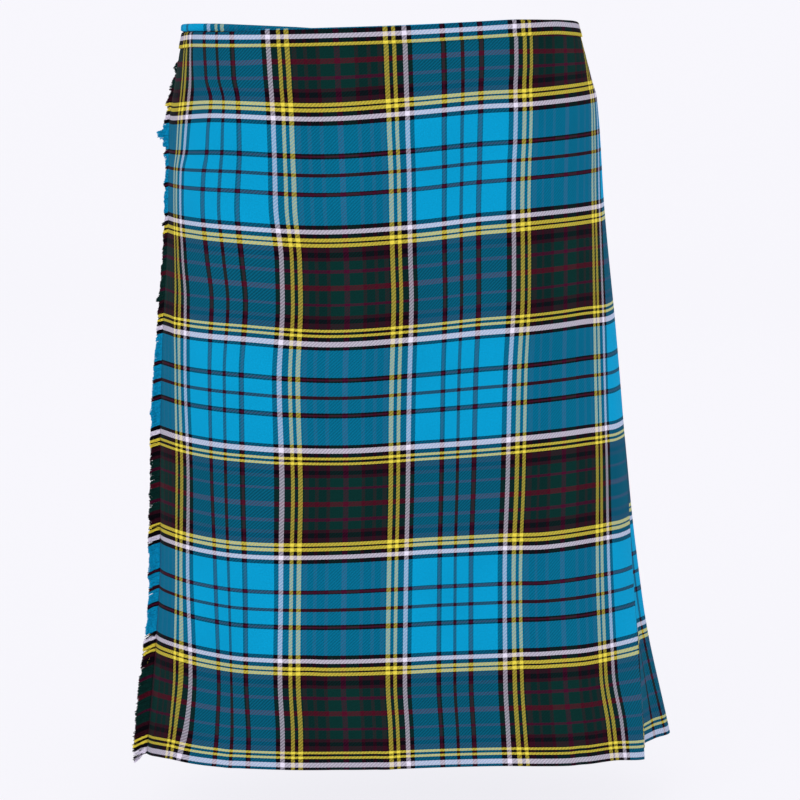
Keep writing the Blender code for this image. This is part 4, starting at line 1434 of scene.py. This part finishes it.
class KILT_OT_fringe(bpy.types.Operator):
    """Makes the loose yarns along the over apron's frayed edge"""

    bl_idname = "kilt.fringe"
    bl_label = "Frayed edge"

    def execute(self, context):
        sizes = context.scene.kilt_fringe
        rng = random.Random(7)
        template = strand_template()
        ring = [vert.co.copy() for vert in template.vertices]
        bm = bmesh.new()
        for _ in range(sizes.strands):
            bm.from_mesh(template)
        bpy.data.meshes.remove(template)
        layer = bm.loops.layers.uv.new("cloth")
        clumps = [rng.uniform(-1, 1) for _ in range(CLUMPS + 2)]
        strands = [
            loose_yarn(mix(*FRINGE_DROPS, (k + rng.random()) / sizes.strands), clumps, rng)
            for k in range(sizes.strands)
        ]
        places = {}
        for index, vert in enumerate(bm.verts):
            strand, part = divmod(index, len(ring))
            yarn, local = strands[strand], ring[part]
            t = local.z
            key = (strand, round(t * STRAND_PARTS))
            if key not in places:
                places[key] = yarn_point(yarn, t)
            thick = sizes.yarn / 2 * yarn["size"] * (1 - 0.3 * t * t)
            vert.co = places[key] + Vector((0.0, local.x, local.y)) * thick
        faces_each = len(bm.faces) // len(strands)
        for index, face in enumerate(bm.faces):
            face.smooth = True
            for loop in face.loops:
                loop[layer].uv = (0.0, strands[index // faces_each]["v"] * MM)
        add_piece(context, "frayed_edge", bm, "fringe", "fringe")
        return {"FINISHED"}


# ------------------------------------------------------------- leather and steel


class KILT_OT_straps(bpy.types.Operator):
    """Gives the straps, tabs, keepers, buckles and prongs their finishes"""

    bl_idname = "kilt.straps"
    bl_label = "Straps and buckles"

    def execute(self, context):
        for part, kind in STRAP_FINISHES.items():
            for side in ("left", "right"):
                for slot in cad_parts[f"{part}_{side}"].material_slots:
                    slot.material = finish_for(context, kind)
        return {"FINISHED"}


# -------------------------------------------------------------------------- stage


def aim(obj, target):
    """Turns a light or camera to face a point."""
    direction = target - obj.location
    obj.rotation_euler = direction.to_track_quat("-Z", "Y").to_euler()


def add_camera(scene, target):
    camera = bpy.data.cameras.new("camera")
    camera.lens = LENS_MM
    view = bpy.data.objects.new("camera", camera)
    scene.collection.objects.link(view)
    turn, rise = math.radians(CAMERA_TURN_DEGREES), math.radians(CAMERA_RISE_DEGREES)
    view.location = target + CAMERA_DISTANCE_M * Vector((
        math.sin(turn) * math.cos(rise), -math.cos(turn) * math.cos(rise), math.sin(rise)
    ))
    aim(view, target)
    scene.camera = view


def sweep_mesh(radius):
    """A round floor that curves up all round into a wall."""
    corners = [(0.0, 0.0)]
    for k in range(COVE_STEPS + 1):
        turn = math.pi / 2 * k / COVE_STEPS
        corners.append((radius + COVE_M * math.sin(turn), COVE_M * (1 - math.cos(turn))))
    corners.append((radius + COVE_M, SWEEP_TOP_M))
    floor_z = CAD_BOX[0][2] - FLOOR_BELOW_M
    bm = bmesh.new()
    verts = [bm.verts.new((x, 0.0, floor_z + z)) for x, z in corners]
    line = [bm.edges.new(pair) for pair in zip(verts, verts[1:])]
    bmesh.ops.spin(
        bm, geom=line, cent=(0, 0, 0), axis=(0, 0, 1), angle=2 * math.pi, steps=64,
        use_merge=True,
    )
    bmesh.ops.remove_doubles(bm, verts=bm.verts, dist=1e-5)
    bmesh.ops.recalc_face_normals(bm, faces=bm.faces)
    for face in bm.faces:
        face.smooth = True
    floor = [face for face in bm.faces if face.calc_center_median().z < floor_z + 0.01]
    if sum(face.normal.z for face in floor) < 0:
        bmesh.ops.reverse_faces(bm, faces=bm.faces)
    return bm


class KILT_OT_stage(bpy.types.Operator):
    """Makes the camera, the soft lights and the pale sweep that the kilt hangs over"""

    bl_idname = "kilt.stage"
    bl_label = "Stage"

    def execute(self, context):
        scene = context.scene
        sizes = scene.kilt_stage
        target = Vector(TARGET_M)
        add_camera(scene, target)
        add_object(context, "sweep", sweep_mesh(sizes.radius), "backdrop")
        for name, light_at, width, power, colour in LIGHTS:
            light = bpy.data.lights.new(name, "AREA")
            light.size = width
            light.energy = getattr(sizes, power)
            light.color = linear(colour)
            obj = bpy.data.objects.new(name, light)
            scene.collection.objects.link(obj)
            obj.location = light_at
            aim(obj, target)
        world = bpy.data.worlds.new("studio")
        world.use_nodes = True
        background = world.node_tree.nodes["Background"]
        background.inputs["Color"].default_value = (*linear("#F4F3F7"), 1.0)
        background.inputs["Strength"].default_value = WORLD_STRENGTH
        scene.world = world
        scene.view_settings.view_transform = "Standard"
        return {"FINISHED"}


class KILT_PT_kilt(bpy.types.Panel):
    """The kilt's sizes, colours and pieces"""

    bl_idname = "KILT_PT_kilt"
    bl_label = "Kilt"
    bl_space_type = "VIEW_3D"
    bl_region_type = "UI"
    bl_category = "Kilt"

    def draw(self, context):
        layout = self.layout
        for group in PROPERTIES:
            box = layout.box()
            source = getattr(context.scene, group)
            for name in source.__annotations__:
                box.prop(source, name)
        for operator in OPERATORS:
            layout.operator(operator.bl_idname)


PROPERTIES = {
    "kilt_yarns": KiltYarns,
    "kilt_cloth": KiltCloth,
    "kilt_fringe": KiltFringe,
    "kilt_leather": KiltLeather,
    "kilt_stage": KiltStage,
}
OPERATORS = (
    KILT_OT_stage,
    KILT_OT_aprons,
    KILT_OT_pleats,
    KILT_OT_waistband,
    KILT_OT_fringe,
    KILT_OT_straps,
)
CLASSES = (*PROPERTIES.values(), *OPERATORS, KILT_PT_kilt)


def register():
    for made in CLASSES:
        bpy.utils.register_class(made)
    for name, group in PROPERTIES.items():
        setattr(bpy.types.Scene, name, bpy.props.PointerProperty(type=group))


def unregister():
    for name in PROPERTIES:
        delattr(bpy.types.Scene, name)
    for made in reversed(CLASSES):
        bpy.utils.unregister_class(made)


def main():
    register()
    bpy.ops.kilt.stage()
    bpy.ops.kilt.aprons()
    bpy.ops.kilt.pleats()
    bpy.ops.kilt.waistband()
    bpy.ops.kilt.fringe()
    bpy.ops.kilt.straps()


if __name__ == "__main__":
    main()
